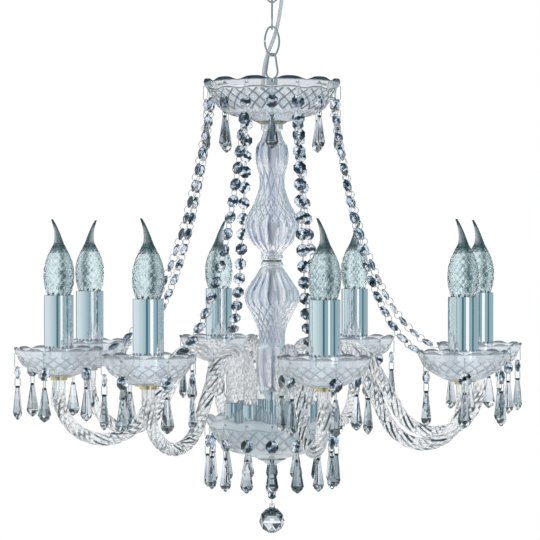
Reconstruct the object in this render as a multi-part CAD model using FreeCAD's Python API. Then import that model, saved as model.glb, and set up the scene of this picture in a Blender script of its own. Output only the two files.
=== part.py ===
import FreeCAD, Part
from FreeCAD import Placement, Rotation, Vector
import math
import os

# Eight-arm cut-glass chandelier hung on a chain from a ceiling cup.
# Millimetres.  The origin is the middle of the ceiling face and +Z points up, so
# every height is negative.  Azimuths are degrees about Z from -Y towards +X.

# ---------------------------------------------------------------- clearances
seat_gap = 0.1          # between fixed pieces that rest on or pass through each other
move_gap = 0.3          # between pieces that move on each other
glass_gap = 0.4         # round a metal part that passes through glass
cut_past = 1.0          # how far a hole's tool runs beyond the face it opens

# ---------------------------------------------------------------- ceiling fitting
plate_length = 80.0
plate_width = 22.0
plate_thickness = 2.0
screw_spacing = 60.0
screw_hole_radius = 2.5
inlet_hole_radius = 4.0
inlet_offset = 16.0
cup_radius = 48.0
cup_depth = 28.0
cup_wall = 1.2
cup_floor_radius = 20.0
cup_band = 5.6          # straight wall below the ceiling
# the shoulder as shares of the way from floor to wall and from floor to ceiling
cup_shoulder = (0.84, 0.36)
collar_radius = 6.5
collar_height = 6.0
block_length = 20.0
block_width = 12.0
block_height = 12.0
block_hole_depth = 5.0
block_screw_radius = 1.5
block_screw_depth = 4.0
hook_stem_radius = 3.0
hook_wire_radius = 1.5
hook_bend_radius = 7.5
hook_drop = 53.2        # ceiling to the middle of the hook's lowest wire

# ---------------------------------------------------------------- chain
chain_wire_radius = 1.1
link_inner_length = 31.0
link_half_width = 8.8   # middle of the wire
link_end_radius = 6.0
link_split = 1.0        # butt gap in one side of each link
link_turns = (10.0, 90.0, 20.0)
eye_turn = -35.0
eye_length = 29.0       # between the wire's middles
eye_top_radius = 5.0
eye_foot_radius = 7.9
eye_boss_radius = 6.5
eye_boss_height = 12.0
eye_socket_depth = 8.0

# ---------------------------------------------------------------- centre rod and glass column
rod_radius = 5.0
rod_bore_radius = 3.2
rod_socket_depth = 4.0
eye_to_column = 50.9    # foot of the eye to the top of the glass column
washer_thickness = 2.6
top_washer_radius = 18.0
top_washer_foot_radius = 13.6
column_cap_radius = 17.0
column_cap_height = 20.0
cable_hole_depth = 8.0

# outlines of the glass column as (radius, depth below the top of the piece)
upper_outline = (
    (12.6, 0.0), (12.6, 6.0), (10.2, 9.0), (13.8, 19.0), (18.4, 26.0), (19.5, 38.0),
    (16.7, 51.8), (14.6, 60.0), (14.9, 72.0), (20.6, 90.3), (26.5, 101.2), (30.8, 112.3),
    (30.8, 121.0), (27.1, 130.6), (21.9, 138.0), (13.6, 145.5), (12.0, 149.4),
)
lower_outline = (
    (12.5, 0.0), (18.6, 9.2), (24.6, 18.2), (30.4, 27.0), (31.5, 36.0), (29.4, 43.7),
    (24.0, 53.4), (20.0, 62.1), (16.3, 71.0), (15.0, 80.0), (15.4, 88.6), (18.4, 93.5),
    (19.0, 110.0), (18.2, 126.0), (14.5, 142.0),
)
collar_ring_radius = 13.0
collar_ring_height = 6.6
collar_ring_neck = 11.2
collar_disc_radius = 11.0
collar_disc_thickness = 1.6

# ---------------------------------------------------------------- dishes
top_dish_radius = 80.0
bottom_dish_radius = 78.5
dish_depth = 48.3
dish_wall = 3.0
# (share of the radius, share of the depth) from the foot to where the straight wall starts
dish_bowl = ((0.225, 0.0), (0.34, 0.05), (0.49, 0.11), (0.63, 0.18), (0.78, 0.33), (0.878, 0.557))
dish_scallops = 12
dish_scallop_depth = 3.8
valley_share = 0.74     # width of a valley as a share of the scallop pitch
pins_per_dish = 16
dish_pin_drop = 6.2     # rim to the middle of a pin hole
pin_hole_radius = 1.5

# ---------------------------------------------------------------- hub, ferrules and arms
arm_count = 8
first_arm_azimuth = 13.5
# how far each arm is turned in its ferrule, as the photographed lamp stands
arm_swings = (-0.9, -1.5, -3.0, 8.3, 2.7, 4.8, 2.0, -0.4)
hub_flange_radius = 13.6
hub_flange_thickness = 3.4
hub_sleeve_radius = 7.5
hub_sleeve_height = 46.0
hub_plate_radius = 57.0
hub_plate_thickness = 3.0
hub_foot_height = 21.5
ferrule_circle = 47.0
ferrule_wall = 1.0
ferrule_height = 36.0
arm_radius = 7.25
arm_bore_radius = 2.5
arm_end_gap = 3.0
arm_inner_rise = 26.4   # ferrule top to the centre of the arch
arch_radius = 38.0
arm_slope = 60.4        # degrees below the horizontal
arm_slope_length = 65.3
bowl_radius = 52.0
arm_outer_rise = 18.9   # centre of the bowl to the arm's outer end

# ---------------------------------------------------------------- candles
arm_cup_radius = 14.0
arm_cup_plate = 1.6
arm_cup_collar = 3.0
arm_cup_wall = 1.6
bobeche_radius = 50.0
bobeche_depth = 32.0
bobeche_wall = 2.6
bobeche_floor = 3.4
bobeche_bowl = ((0.35, 0.0), (0.46, 0.06), (0.62, 0.19), (0.80, 0.36), (0.89, 0.54))
bobeche_scallops = 12
bobeche_scallop_depth = 2.6
bobeche_pins = 6
bobeche_pin_drop = 5.0
nipple_radius = 4.8
holder_radius = 12.5
holder_height = 42.0
holder_foot = 22.0      # bobeche floor to the holder's underside
socket_radius = 7.5
socket_depth = 27.0
sleeve_radius = 16.5
sleeve_wall = 1.0
sleeve_length = 87.0
bulb_cap_radius = 7.0
bulb_cap_length = 22.0
bulb_contact_radius = 3.1
bulb_contact_height = 3.0
bulb_knob_radius = 1.6
# envelope outline as (radius, height above the sleeve's top)
bulb_outline = ((6.6, -21.0), (9.0, -14.0), (13.4, 0.0), (16.5, 10.0), (17.5, 21.0), (16.9, 31.0),
                (14.2, 41.0), (9.6, 51.0), (6.2, 57.0))
# centre line of the bent tip as (sideways, height, radius)
bulb_tip = ((0.0, 57.0, 6.2), (0.5, 63.0, 4.3), (2.2, 71.0, 2.9), (4.9, 79.0, 1.9), (7.6, 85.0, 1.2))
bulb_tip_azimuths = (-90.0, -90.0, -90.0, 60.0, 90.0, 90.0, -90.0, -90.0)

# ---------------------------------------------------------------- crystals
wire_radius = 0.45
wire_bend = 1.2
bead_radius = 7.6       # to the corners of the octagon
bead_table = 0.5        # table radius as a share of the bead's
bead_half_depth = 3.2
bead_edge = 0.6
bead_hole_offset = 5.2
bead_hole_radius = 1.15
pin_length = 16.0
pin_reach = 3.2         # how far a pin's ends reach to each side of the hole
drop_link_length = 10.5
drop_link_half = 2.9
pendant_length = 38.0
pendant_half_width = 7.8
pendant_half_depth = 5.0
pendant_top_width = 2.0
pendant_top_depth = 2.2
pendant_shoulder = 0.8  # share of the length at which it is widest
pendant_point = 0.12    # the blunt point as a share of the widest section
pendant_hole_drop = 1.9
pendant_hole_radius = 0.85
bead_pitch = 19.0
foot_pin_length = 11.5  # a garland's last bead hole to the bobeche's hole
garland_slack = 1.07    # strand length over the straight distance

# ---------------------------------------------------------------- finial and ball
finial_radius = 16.0
finial_depth = 8.4
finial_rim = 1.6
# the waist as shares of the radius and of the depth
finial_waist = (0.62, 0.55)
finial_stem_radius = 4.5
finial_stem_foot_radius = 2.7
finial_stem_length = 17.0
finial_eye_radius = 3.2
finial_wire_radius = 0.8
small_bead_scale = 0.72
ball_radius = 15.0
ball_sides = 10
# levels of the ball's facets as shares of its radius
ball_levels = (-0.98, -0.8, -0.45, 0.0, 0.45, 0.8, 0.98)
ball_hub_foot = (4.2, 2.4)
ball_hub_head = (2.6, 1.6)
ball_hub_sink = 1.5     # how far the hub starts inside the ball
ball_hub_hole_rise = 2.5
ball_hub_head_rise = 4.8

# ---------------------------------------------------------------- supply cable
cable_radius = 2.1
# the cable's route between its two ends, as (x, y, z)
cable_route = (
    (14.0, 6.0, -52.0),
    (10.6, 6.5, -86.0),
    (5.4, 6.6, -116.0),
    (-4.2, 6.8, -140.0),
    (-9.2, 6.4, -156.0),
)
cable_end = (-10.9, 5.4)
cable_lead = 8.0        # straight run above the cap
cable_ease = 0.45       # share of the shorter run that each bend takes up

# ---------------------------------------------------------------- heights that follow
link_pitch = link_inner_length - move_gap
link_wire_span = link_inner_length + 2 * chain_wire_radius
hook_wire_z = -hook_drop
link_top_z = [hook_wire_z + hook_wire_radius + chain_wire_radius + move_gap]
for _ in link_turns:
    link_top_z.append(link_top_z[-1] - link_pitch)
eye_top_z = link_top_z[-1]
eye_foot_z = eye_top_z - eye_length
column_top_z = eye_foot_z - chain_wire_radius - eye_to_column
top_dish_foot_z = column_top_z + washer_thickness
# how far a wire lies from the middle of the hole that it pulls on
pin_sag = pin_hole_radius - wire_radius - seat_gap
bead_sag = bead_hole_radius - wire_radius - seat_gap
pendant_sag = pendant_hole_radius - wire_radius - seat_gap
top_rim_z = top_dish_foot_z + dish_depth
cap_foot_z = top_dish_foot_z + dish_wall + seat_gap
cap_top_z = cap_foot_z + column_cap_height
upper_length = upper_outline[-1][1]
lower_length = lower_outline[-1][1]
collar_top_z = column_top_z - upper_length - seat_gap
collar_foot_z = collar_top_z - 2 * collar_ring_height - collar_disc_thickness - 2 * seat_gap
lower_top_z = collar_foot_z - seat_gap
hub_top_z = lower_top_z - lower_length - seat_gap
hub_plate_z = hub_top_z - hub_flange_thickness - hub_sleeve_height
hub_foot_z = hub_plate_z - hub_plate_thickness - hub_foot_height
bottom_dish_foot_z = hub_foot_z - seat_gap - dish_wall
bottom_rim_z = bottom_dish_foot_z + dish_depth
ferrule_radius = arm_radius + glass_gap + ferrule_wall
ferrule_top_z = hub_plate_z + seat_gap + ferrule_height

# the arm's centre line in its own upright plane
slope = math.radians(arm_slope)
arch_x = ferrule_circle + arch_radius
arch_z = ferrule_top_z + arm_inner_rise
slope_top = (arch_x + arch_radius * math.sin(slope), arch_z + arch_radius * math.cos(slope))
slope_foot = (slope_top[0] + arm_slope_length * math.cos(slope),
              slope_top[1] - arm_slope_length * math.sin(slope))
bowl_x = slope_foot[0] + bowl_radius * math.sin(slope)
bowl_z = slope_foot[1] + bowl_radius * math.cos(slope)
candle_circle = bowl_x + bowl_radius
arm_end_z = bowl_z + arm_outer_rise

cup_plate_z = arm_end_z + seat_gap + arm_cup_plate
bobeche_foot_z = cup_plate_z + seat_gap
bobeche_rim_z = bobeche_foot_z + bobeche_depth
candle_floor_z = bobeche_foot_z + bobeche_floor + seat_gap
block_foot_z = -plate_thickness - seat_gap - block_height
sleeve_top_z = candle_floor_z + sleeve_length
holder_foot_z = candle_floor_z + holder_foot
holder_top_z = holder_foot_z + holder_height
bulb_base_z = sleeve_top_z + bulb_outline[0][1]
finial_top_z = bottom_dish_foot_z - seat_gap
finial_foot_z = finial_top_z - finial_depth
finial_eye_z = finial_foot_z - finial_stem_length - finial_eye_radius


# ---------------------------------------------------------------- helpers
def outward(azimuth):
    angle = math.radians(azimuth)
    return Vector(math.sin(angle), -math.cos(angle), 0)


def turned_to(shape, azimuth, place=Vector(0, 0, 0)):
    """A copy whose own +X points along the azimuth, with its origin at the place."""
    copy = shape.copy()
    turn = Placement(place, Rotation(Vector(0, 0, 1), azimuth - 90.0))
    copy.Placement = turn.multiply(copy.Placement)
    return copy


def at_height(shape, z):
    copy = shape.copy()
    copy.translate(Vector(0, 0, z))
    return copy


def tube(outer, inner, foot, top):
    body = Part.makeCylinder(outer, top - foot, Vector(0, 0, foot))
    return body.cut(Part.makeCylinder(inner, top - foot + 2 * cut_past, Vector(0, 0, foot - cut_past)))


def curve(points, start=None, end=None):
    """A smooth curve through points given as (x, z)."""
    line = Part.BSplineCurve()
    corners = [Vector(x, 0, z) for x, z in points]
    if start is None:
        line.interpolate(corners)
    else:
        line.interpolate(corners, InitialTangent=start, FinalTangent=end)
    return line.toShape()


def straight(a, b):
    return Part.makeLine(Vector(a[0], 0, a[1]), Vector(b[0], 0, b[1]))


def arc(centre_x, centre_z, radius, first, last):
    """An arc in the XZ plane from one angle to another, in radians from +X."""
    angles = (first, (first + last) / 2, last)
    points = [Vector(centre_x + radius * math.cos(a), 0, centre_z + radius * math.sin(a)) for a in angles]
    return Part.Arc(*points).toShape()


def revolved(edges):
    face = Part.Face(Part.Wire(edges))
    return face.revolve(Vector(0, 0, 0), Vector(0, 0, 1), 360)


def swept(edges, radius):
    """A round section along a path of tangent runs and arcs."""
    path = Part.Wire(edges)
    first = path.OrderedEdges[0]
    begin = first.FirstParameter if first.Orientation == "Forward" else first.LastParameter
    heading = first.tangentAt(begin)
    section = Part.Wire([Part.makeCircle(radius, first.valueAt(begin), heading)])
    return path.makePipeShell([section], True, False)


def rounded_path(points, radii, closed=False):
    """Straight runs joined by tangent arcs, with one radius for each corner."""
    count = len(points)
    corners = range(count) if closed else range(1, count - 1)
    cuts = {}
    for index, radius in zip(corners, radii):
        here = points[index]
        back = (points[index - 1] - here).normalize()
        ahead = (points[(index + 1) % count] - here).normalize()
        half = back.getAngle(ahead) / 2
        reach = radius / math.tan(half)
        middle = here + (back + ahead).normalize() * (radius / math.sin(half) - radius)
        cuts[index] = (here + back * reach, middle, here + ahead * reach)
    edges = []
    for index in range(count if closed else count - 1):
        following = (index + 1) % count
        begin = cuts[index][2] if index in cuts else points[index]
        end = cuts[following][0] if following in cuts else points[following]
        if (end - begin).Length > 1e-6:
            edges.append(Part.makeLine(begin, end))
        if following in cuts:
            edges.append(Part.Arc(*cuts[following]).toShape())
    return edges


def polygon(radius_x, radius_y, sides, z, turn=0.5):
    corners = []
    for index in range(sides):
        angle = 2 * math.pi * (index + turn) / sides
        corners.append(Vector(radius_x * math.cos(angle), radius_y * math.sin(angle), z))
    return Part.makePolygon(corners + [corners[0]])


def faceted(sections):
    return Part.makeLoft(sections, True, True)


def bitten_rim(shape, radius, rim_z, count, depth):
    """Cuts a round valley between each two scallops of a rim."""
    half_chord = valley_share * math.pi * radius / count
    bite = (half_chord ** 2 + depth ** 2) / (2 * depth)
    tools = []
    for index in range(count):
        heading = outward(360.0 * index / count)
        middle = Vector(0, 0, rim_z + bite - depth) + heading * (radius * 0.5)
        tools.append(Part.makeCylinder(bite, radius, middle, heading))
    return shape.cut(tools)


def wall_radius(radius, depth, bowl, drop):
    """Outer radius of a dish's straight wall, a drop below its rim."""
    run = 1 - bowl[-1][0]
    rise = 1 - bowl[-1][1]
    return radius - (drop / depth) * radius * run / rise


def dish(radius, depth, wall, floor, bowl, hole_radius, scallops, scallop_depth, pin_azimuths, pin_drop):
    """A scalloped dish that stands on z = 0, with pin holes below its rim."""
    outer = [(share * radius, rise * depth) for share, rise in bowl]
    corner = outer[-1]
    lean = Vector(radius - corner[0], 0, depth - corner[1]).normalize()
    shift = wall * Vector(-lean.z, 0, lean.x)
    inner = [(outer[0][0], floor)]
    for (x, z), (x_next, z_next) in zip(outer[1:-1], outer[2:]):
        along = Vector(x_next - x, 0, z_next - z).normalize()
        inner.append((x - along.z * wall, max(z + along.x * wall, floor + seat_gap)))
    inner.append((corner[0] + shift.x, corner[1] + shift.z))
    flat = Vector(1, 0, 0)
    rim_outer = (radius, depth)
    rim_inner = (radius + shift.x, depth)
    edges = [
        straight((hole_radius, 0), outer[0]),
        curve(outer, flat, lean),
        straight(outer[-1], rim_outer),
        straight(rim_outer, rim_inner),
        straight(rim_inner, inner[-1]),
        curve(inner[::-1], lean * -1, flat * -1),
        straight(inner[0], (hole_radius, floor)),
        straight((hole_radius, floor), (hole_radius, 0)),
    ]
    shape = bitten_rim(revolved(edges), radius, depth, scallops, scallop_depth)
    reach = 4 * wall
    middle_x = wall_radius(radius, depth, bowl, pin_drop) - wall / (2 * lean.z)
    holes = []
    for azimuth in pin_azimuths:
        heading = outward(azimuth)
        start = heading * (middle_x - reach / 2) + Vector(0, 0, depth - pin_drop)
        holes.append(Part.makeCylinder(pin_hole_radius, reach, start, heading))
    return shape.cut(holes), middle_x


# ---------------------------------------------------------------- crystals on wire
def octagon_bead(scale=1.0):
    """An octagon bead across its own X, with a hole above and below its middle."""
    edge = polygon(bead_radius * scale, bead_radius * scale, 8, 0)
    table = polygon(bead_radius * bead_table * scale, bead_radius * bead_table * scale, 8, 0)
    levels = ((-bead_half_depth, table), (-bead_edge, edge), (bead_edge, edge), (bead_half_depth, table))
    bead = faceted([at_height(wire, level * scale) for level, wire in levels])
    bead.rotate(Vector(0, 0, 0), Vector(0, 1, 0), 90)
    length = 4 * bead_half_depth
    holes = []
    for side in (-1, 1):
        start = Vector(-length / 2, 0, side * bead_hole_offset * scale)
        holes.append(Part.makeCylinder(bead_hole_radius * scale, length, start, Vector(1, 0, 0)))
    return bead.cut(holes)


def pin(length):
    """A wire pin whose two ends are bent back towards -X, hung from the origin."""
    corners = [Vector(-pin_reach, 0, 0), Vector(pin_reach, 0, 0),
               Vector(pin_reach, 0, -length), Vector(-pin_reach, 0, -length)]
    return swept(rounded_path(corners, (wire_bend, wire_bend)), wire_radius)


def wire_link(top, foot):
    """A closed wire link that goes through a hole at each of its ends."""
    half = drop_link_half
    corners = [Vector(half, 0, top), Vector(half, 0, foot), Vector(-half, 0, foot), Vector(-half, 0, top)]
    edges = rounded_path(corners, (wire_bend,) * 4, closed=True)
    return swept(edges, wire_radius)


def pendant():
    """A long faceted drop, hole uppermost at the origin."""
    top = pendant_hole_drop
    shoulder = top - pendant_length * pendant_shoulder
    foot = top - pendant_length
    body = faceted([
        polygon(pendant_top_depth, pendant_top_width, 8, top),
        polygon(pendant_half_depth, pendant_half_width, 8, shoulder),
        polygon(pendant_half_depth * pendant_point, pendant_half_width * pendant_point, 8, foot),
    ])
    reach = 4 * pendant_half_depth
    hole = Part.makeCylinder(pendant_hole_radius, reach, Vector(-reach / 2, 0, 0), Vector(1, 0, 0))
    return body.cut(hole)


def drop():
    """Pin, bead, link and pendant as they hang below a rim hole."""
    bead_z = -pin_length - bead_sag - bead_hole_offset
    link_top = bead_z - bead_hole_offset - bead_sag
    link_foot = link_top - drop_link_length
    return [pin(pin_length), at_height(octagon_bead(), bead_z),
            wire_link(link_top, link_foot), at_height(pendant(), link_foot - pendant_sag)]


def ring_between(a, b, side):
    """A wire ring through the holes at a and b, in the plane that also holds side."""
    along = (b - a).normalize()
    return Part.makeTorus((b - a).Length / 2, wire_radius, (a + b) * 0.5, along.cross(side))


def hanging_points(start, end, length, steps):
    """Even steps along a chain of this length that hangs from start to end."""
    level = Vector(end.x - start.x, end.y - start.y, 0)
    span = level.Length
    level.normalize()
    fall = end.z - start.z
    target = math.sqrt(length ** 2 - fall ** 2) / span
    low, high = 1e-6, 20.0
    for _ in range(80):
        guess = (low + high) / 2
        if math.sinh(guess) / guess < target:
            low = guess
        else:
            high = guess
    size = span / (2 * low)
    lowest = span / 2 - size * math.atanh(fall / length)
    begin = size * math.sinh(-lowest / size)
    base = size * math.cosh(-lowest / size)
    points = []
    for run in steps:
        x = lowest + size * math.asinh((begin + run) / size)
        z = size * math.cosh((x - lowest) / size) - base
        points.append(start + level * x + Vector(0, 0, z))
    return points, level


def garland(hook, heading, end):
    """A pin in a rim hole, then octagon beads on rings down to a bobeche's hole."""
    start = hook - Vector(0, 0, pin_length + bead_sag)
    free = (end - start).Length * garland_slack - foot_pin_length
    gap = bead_pitch - 2 * bead_hole_offset
    beads = int(round((free + gap) / bead_pitch))
    length = beads * bead_pitch - gap + foot_pin_length
    holes = []
    for index in range(beads):
        run = index * bead_pitch
        holes += [run, run + 2 * bead_hole_offset]
    points, level = hanging_points(start, end, length, holes + [length])
    across = level.cross(Vector(0, 0, 1))
    master = octagon_bead()
    solids = []
    faces = []
    for upper, lower in zip(points[0:-1:2], points[1:-1:2]):
        along = (upper - lower).normalize()
        face = across.cross(along)
        faces.append(face)
        turn = Rotation(face, along.cross(face), along, "ZXY")
        bead = master.copy()
        bead.Placement = Placement((upper + lower) * 0.5, turn).multiply(bead.Placement)
        solids.append(bead)
    for index in range(1, beads):
        side = faces[index - 1] + faces[index]
        solids.append(ring_between(points[2 * index - 1], points[2 * index], side.normalize()))
    first, last, lowest, tip = faces[0] * pin_reach, faces[-1] * pin_reach, points[-2], points[-1]
    inward = level * pin_reach
    out = heading * pin_reach
    foot = hook - Vector(0, 0, pin_length)
    bends = (wire_bend, wire_bend)
    top_pin = rounded_path([hook - out, hook + out, foot - first, foot + first], bends)
    foot_pin = rounded_path([lowest - last, lowest + last, tip - inward, tip + inward], bends)
    return solids + [swept(top_pin, wire_radius), swept(foot_pin, wire_radius)]


# ---------------------------------------------------------------- chain pieces
def oval_link(turn, top_z):
    """A split oval link of round wire, its uppermost wire at top_z."""
    half = link_wire_span / 2
    end = link_end_radius
    side = (link_half_width ** 2 - end ** 2 + (half - end) ** 2) / (2 * (link_half_width - end))
    spread = math.atan2(half - end, side - link_half_width)
    offset = side - link_half_width
    opening = link_split / (2 * side)

    edges = [
        arc(offset, 0, side, math.pi - opening, math.pi - spread),
        arc(0, half - end, end, math.pi - spread, spread),
        arc(-offset, 0, side, spread, -spread),
        arc(0, end - half, end, -spread, spread - math.pi),
        arc(offset, 0, side, spread - math.pi, opening - math.pi),
    ]
    link = swept(edges, chain_wire_radius)
    link.rotate(Vector(0, 0, 0), Vector(0, 0, 1), turn)
    link.translate(Vector(0, 0, top_z - half))
    return link


def top_eye():
    """The pear-shaped eye on top of the rod, with its threaded boss."""
    upper = -eye_top_radius
    lower = -eye_length + eye_foot_radius
    lean = math.asin((eye_foot_radius - eye_top_radius) / (upper - lower))
    side = (math.cos(lean), math.sin(lean))

    def on(radius, centre, x_side):
        return Vector(x_side * radius * side[0], 0, centre + radius * side[1])

    top_right, foot_right = on(eye_top_radius, upper, 1), on(eye_foot_radius, lower, 1)
    top_left, foot_left = on(eye_top_radius, upper, -1), on(eye_foot_radius, lower, -1)
    edges = [
        Part.makeLine(foot_right, top_right),
        Part.Arc(top_right, Vector(0, 0, upper + eye_top_radius), top_left).toShape(),
        Part.makeLine(top_left, foot_left),
        Part.Arc(foot_left, Vector(0, 0, -eye_length), foot_right).toShape(),
    ]
    loop = swept(edges, chain_wire_radius)
    loop.rotate(Vector(0, 0, 0), Vector(0, 0, 1), eye_turn)
    loop.translate(Vector(0, 0, eye_top_z))
    boss = Part.makeCylinder(eye_boss_radius, eye_boss_height, Vector(0, 0, eye_foot_z - eye_boss_height))
    socket_z = eye_foot_z - eye_boss_height
    socket = Part.makeCylinder(rod_radius + seat_gap, eye_socket_depth, Vector(0, 0, socket_z))
    return loop.fuse(boss).cut(socket).removeSplitter()


def ceiling_hook():
    ring_z = hook_wire_z + hook_bend_radius
    ring = Part.makeTorus(hook_bend_radius, hook_wire_radius, Vector(0, 0, ring_z), Vector(1, 0, 0))
    stem_length = -(ring_z + hook_bend_radius)
    stem = Part.makeCylinder(hook_stem_radius, stem_length, Vector(0, 0, -stem_length))
    return ring.fuse(stem).removeSplitter()


def ceiling_plate():
    plate = Part.makeBox(plate_length, plate_width, plate_thickness,
                         Vector(-plate_length / 2, -plate_width / 2, -plate_thickness))
    holes = [(0, hook_stem_radius + seat_gap), (-inlet_offset, inlet_hole_radius),
             (screw_spacing / 2, screw_hole_radius), (-screw_spacing / 2, screw_hole_radius)]
    tools = [Part.makeCylinder(radius, plate_thickness * 3, Vector(x, 0, -2 * plate_thickness))
             for x, radius in holes]
    return plate.cut(tools)


def ceiling_cup():
    """The pressed cup that hides the fitting, open towards the ceiling."""
    rim_z = -seat_gap
    floor_z = -cup_depth
    stem_hole = hook_stem_radius + seat_gap
    band_z = rim_z - cup_band
    flare = cup_radius - cup_floor_radius
    middle = Vector(cup_floor_radius + cup_shoulder[0] * flare, 0, floor_z + cup_shoulder[1] * cup_depth)
    facing = Vector(-cup_depth, 0, flare).normalize() * cup_wall
    outer = [(cup_radius, band_z), (middle.x, middle.z), (cup_floor_radius, floor_z)]
    inner = [(cup_radius - cup_wall, band_z), (middle.x + facing.x, middle.z + facing.z),
             (cup_floor_radius, floor_z + cup_wall)]
    down, across = Vector(0, 0, -1), Vector(-1, 0, 0)
    edges = [
        straight((cup_radius, rim_z), outer[0]),
        curve(outer, down, across),
        straight(outer[-1], (stem_hole, floor_z)),
        straight((stem_hole, floor_z), (stem_hole, floor_z + cup_wall)),
        straight((stem_hole, floor_z + cup_wall), inner[-1]),
        curve(inner[::-1], across * -1, down * -1),
        straight(inner[0], (cup_radius - cup_wall, rim_z)),
        straight((cup_radius - cup_wall, rim_z), (cup_radius, rim_z)),
    ]
    x, y, _ = cable_route[0]
    hole = Part.makeCylinder(cable_radius + glass_gap, 3 * cup_wall, Vector(x, y, floor_z - cup_wall))
    return revolved(edges).cut(hole)


def terminal_block():
    """Three screw terminals in a block, with the supply cable in its underside."""
    x, y, _ = cable_route[0]
    corner = Vector(x - block_length * 0.3, y - block_width * 0.6, block_foot_z)
    block = Part.makeBox(block_length, block_width, block_height, corner)
    tools = [Part.makeCylinder(cable_radius + seat_gap, block_hole_depth + cut_past,
                               Vector(x, y, block_foot_z - cut_past))]
    reach = block_screw_depth + cut_past
    for share in (0.25, 0.5, 0.75):
        seat = corner + Vector(block_length * share, -cut_past, block_height * 0.75)
        tools.append(Part.makeCylinder(block_screw_radius, reach, seat, Vector(0, 1, 0)))
    return block.cut(tools)


def power_cable():
    """The supply cable from the terminal block to the cap on the dish's floor."""
    start_x, start_y, _ = cable_route[0]
    end_x, end_y = cable_end
    points = [Vector(start_x, start_y, block_foot_z + block_hole_depth - seat_gap)]
    points += [Vector(*point) for point in cable_route]
    points += [Vector(end_x, end_y, cap_top_z + cable_lead),
               Vector(end_x, end_y, cap_top_z - cable_hole_depth + seat_gap)]
    radii = []
    for back, here, ahead in zip(points, points[1:], points[2:]):
        turn = math.pi - (back - here).getAngle(ahead - here)
        shorter = min((back - here).Length, (ahead - here).Length)
        radii.append(cable_ease * shorter / math.tan(turn / 2))
    return swept(rounded_path(points, radii), cable_radius)


# ---------------------------------------------------------------- column pieces
def glass_turning(outline, top_z):
    bore = rod_radius + glass_gap
    points = [(radius, top_z - depth) for radius, depth in outline]
    head, foot = points[0], points[-1]
    edges = [
        straight((bore, head[1]), head),
        curve(points),
        straight(foot, (bore, foot[1])),
        straight((bore, foot[1]), (bore, head[1])),
    ]
    return revolved(edges)


def collar_rings():
    bore = rod_radius + glass_gap
    neck = collar_ring_neck
    rings = []
    top = collar_top_z
    for _ in range(2):
        foot = top - collar_ring_height
        middle = Vector(collar_ring_radius, 0, (top + foot) / 2)
        rings.append(revolved([
            straight((bore, top), (neck, top)),
            Part.Arc(Vector(neck, 0, top), middle, Vector(neck, 0, foot)).toShape(),
            straight((neck, foot), (bore, foot)),
            straight((bore, foot), (bore, top)),
        ]))
        top = foot - collar_disc_thickness - 2 * seat_gap
    return Part.makeCompound(rings)


def column_washers():
    """The cone under the top dish and the disc between the collar's rings."""
    hole = rod_radius + seat_gap
    top_z = top_dish_foot_z - seat_gap
    foot_z = column_top_z + seat_gap
    cone = Part.makeCone(top_washer_foot_radius, top_washer_radius, top_z - foot_z, Vector(0, 0, foot_z))
    cone = cone.cut(Part.makeCylinder(hole, washer_thickness + 2 * cut_past, Vector(0, 0, foot_z - cut_past)))
    disc_top = collar_top_z - collar_ring_height - seat_gap
    disc = tube(collar_disc_radius, hole, disc_top - collar_disc_thickness, disc_top)
    return Part.makeCompound([cone, disc])


def column_cap():
    """The cover on the dish's floor that the supply cable enters."""
    cap = tube(column_cap_radius, rod_radius + seat_gap, cap_foot_z, cap_top_z)
    hole = Part.makeCylinder(cable_radius + glass_gap, cable_hole_depth + cut_past,
                             Vector(cable_end[0], cable_end[1], cap_top_z - cable_hole_depth))
    return cap.cut(hole)


def arm_hub():
    hole = rod_radius + seat_gap
    flange = tube(hub_flange_radius, hole, hub_top_z - hub_flange_thickness, hub_top_z)
    sleeve = tube(hub_sleeve_radius, hole, hub_foot_z, hub_top_z - hub_flange_thickness)
    plate = tube(hub_plate_radius, hole, hub_plate_z - hub_plate_thickness, hub_plate_z)
    return flange.fuse([sleeve, plate]).removeSplitter()


def finial():
    """The saucer nut under the bottom dish, with its stem and eye."""
    hole = rod_radius + seat_gap
    stem_foot = finial_foot_z - finial_stem_length
    rim = Vector(finial_radius, 0, finial_top_z - finial_rim)
    waist = Vector(finial_radius * finial_waist[0], 0, finial_top_z - finial_depth * finial_waist[1])
    neck = Vector(finial_stem_radius, 0, finial_foot_z)
    edges = [
        straight((0, finial_top_z), (finial_radius, finial_top_z)),
        straight((finial_radius, finial_top_z), (rim.x, rim.z)),
        Part.Arc(rim, waist, neck).toShape(),
        straight((neck.x, neck.z), (finial_stem_foot_radius, stem_foot)),
        straight((finial_stem_foot_radius, stem_foot), (0, stem_foot)),
        straight((0, stem_foot), (0, finial_top_z)),
    ]
    eye = Part.makeTorus(finial_eye_radius, finial_wire_radius, Vector(0, 0, finial_eye_z), Vector(0, 1, 0))
    socket_z = finial_top_z - rod_socket_depth
    socket = Part.makeCylinder(hole, rod_socket_depth + cut_past, Vector(0, 0, socket_z))
    return revolved(edges).fuse(eye).cut(socket).removeSplitter()


# ---------------------------------------------------------------- arms and candles
def arm_shape():
    """A bent glass tube in its own XZ plane, X measured from the chandelier's axis."""
    lean = math.pi / 2 - slope
    edges = [
        straight((ferrule_circle, hub_plate_z + arm_end_gap), (ferrule_circle, arch_z)),
        arc(arch_x, arch_z, arch_radius, math.pi, math.pi / 2),
        arc(arch_x, arch_z, arch_radius, math.pi / 2, lean),
        straight(slope_top, slope_foot),
        arc(bowl_x, bowl_z, bowl_radius, math.pi + lean, 1.5 * math.pi),
        arc(bowl_x, bowl_z, bowl_radius, 1.5 * math.pi, 2 * math.pi),
        straight((candle_circle, bowl_z), (candle_circle, arm_end_z)),
    ]
    return swept(edges, arm_radius).cut(swept(edges, arm_bore_radius))


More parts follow.
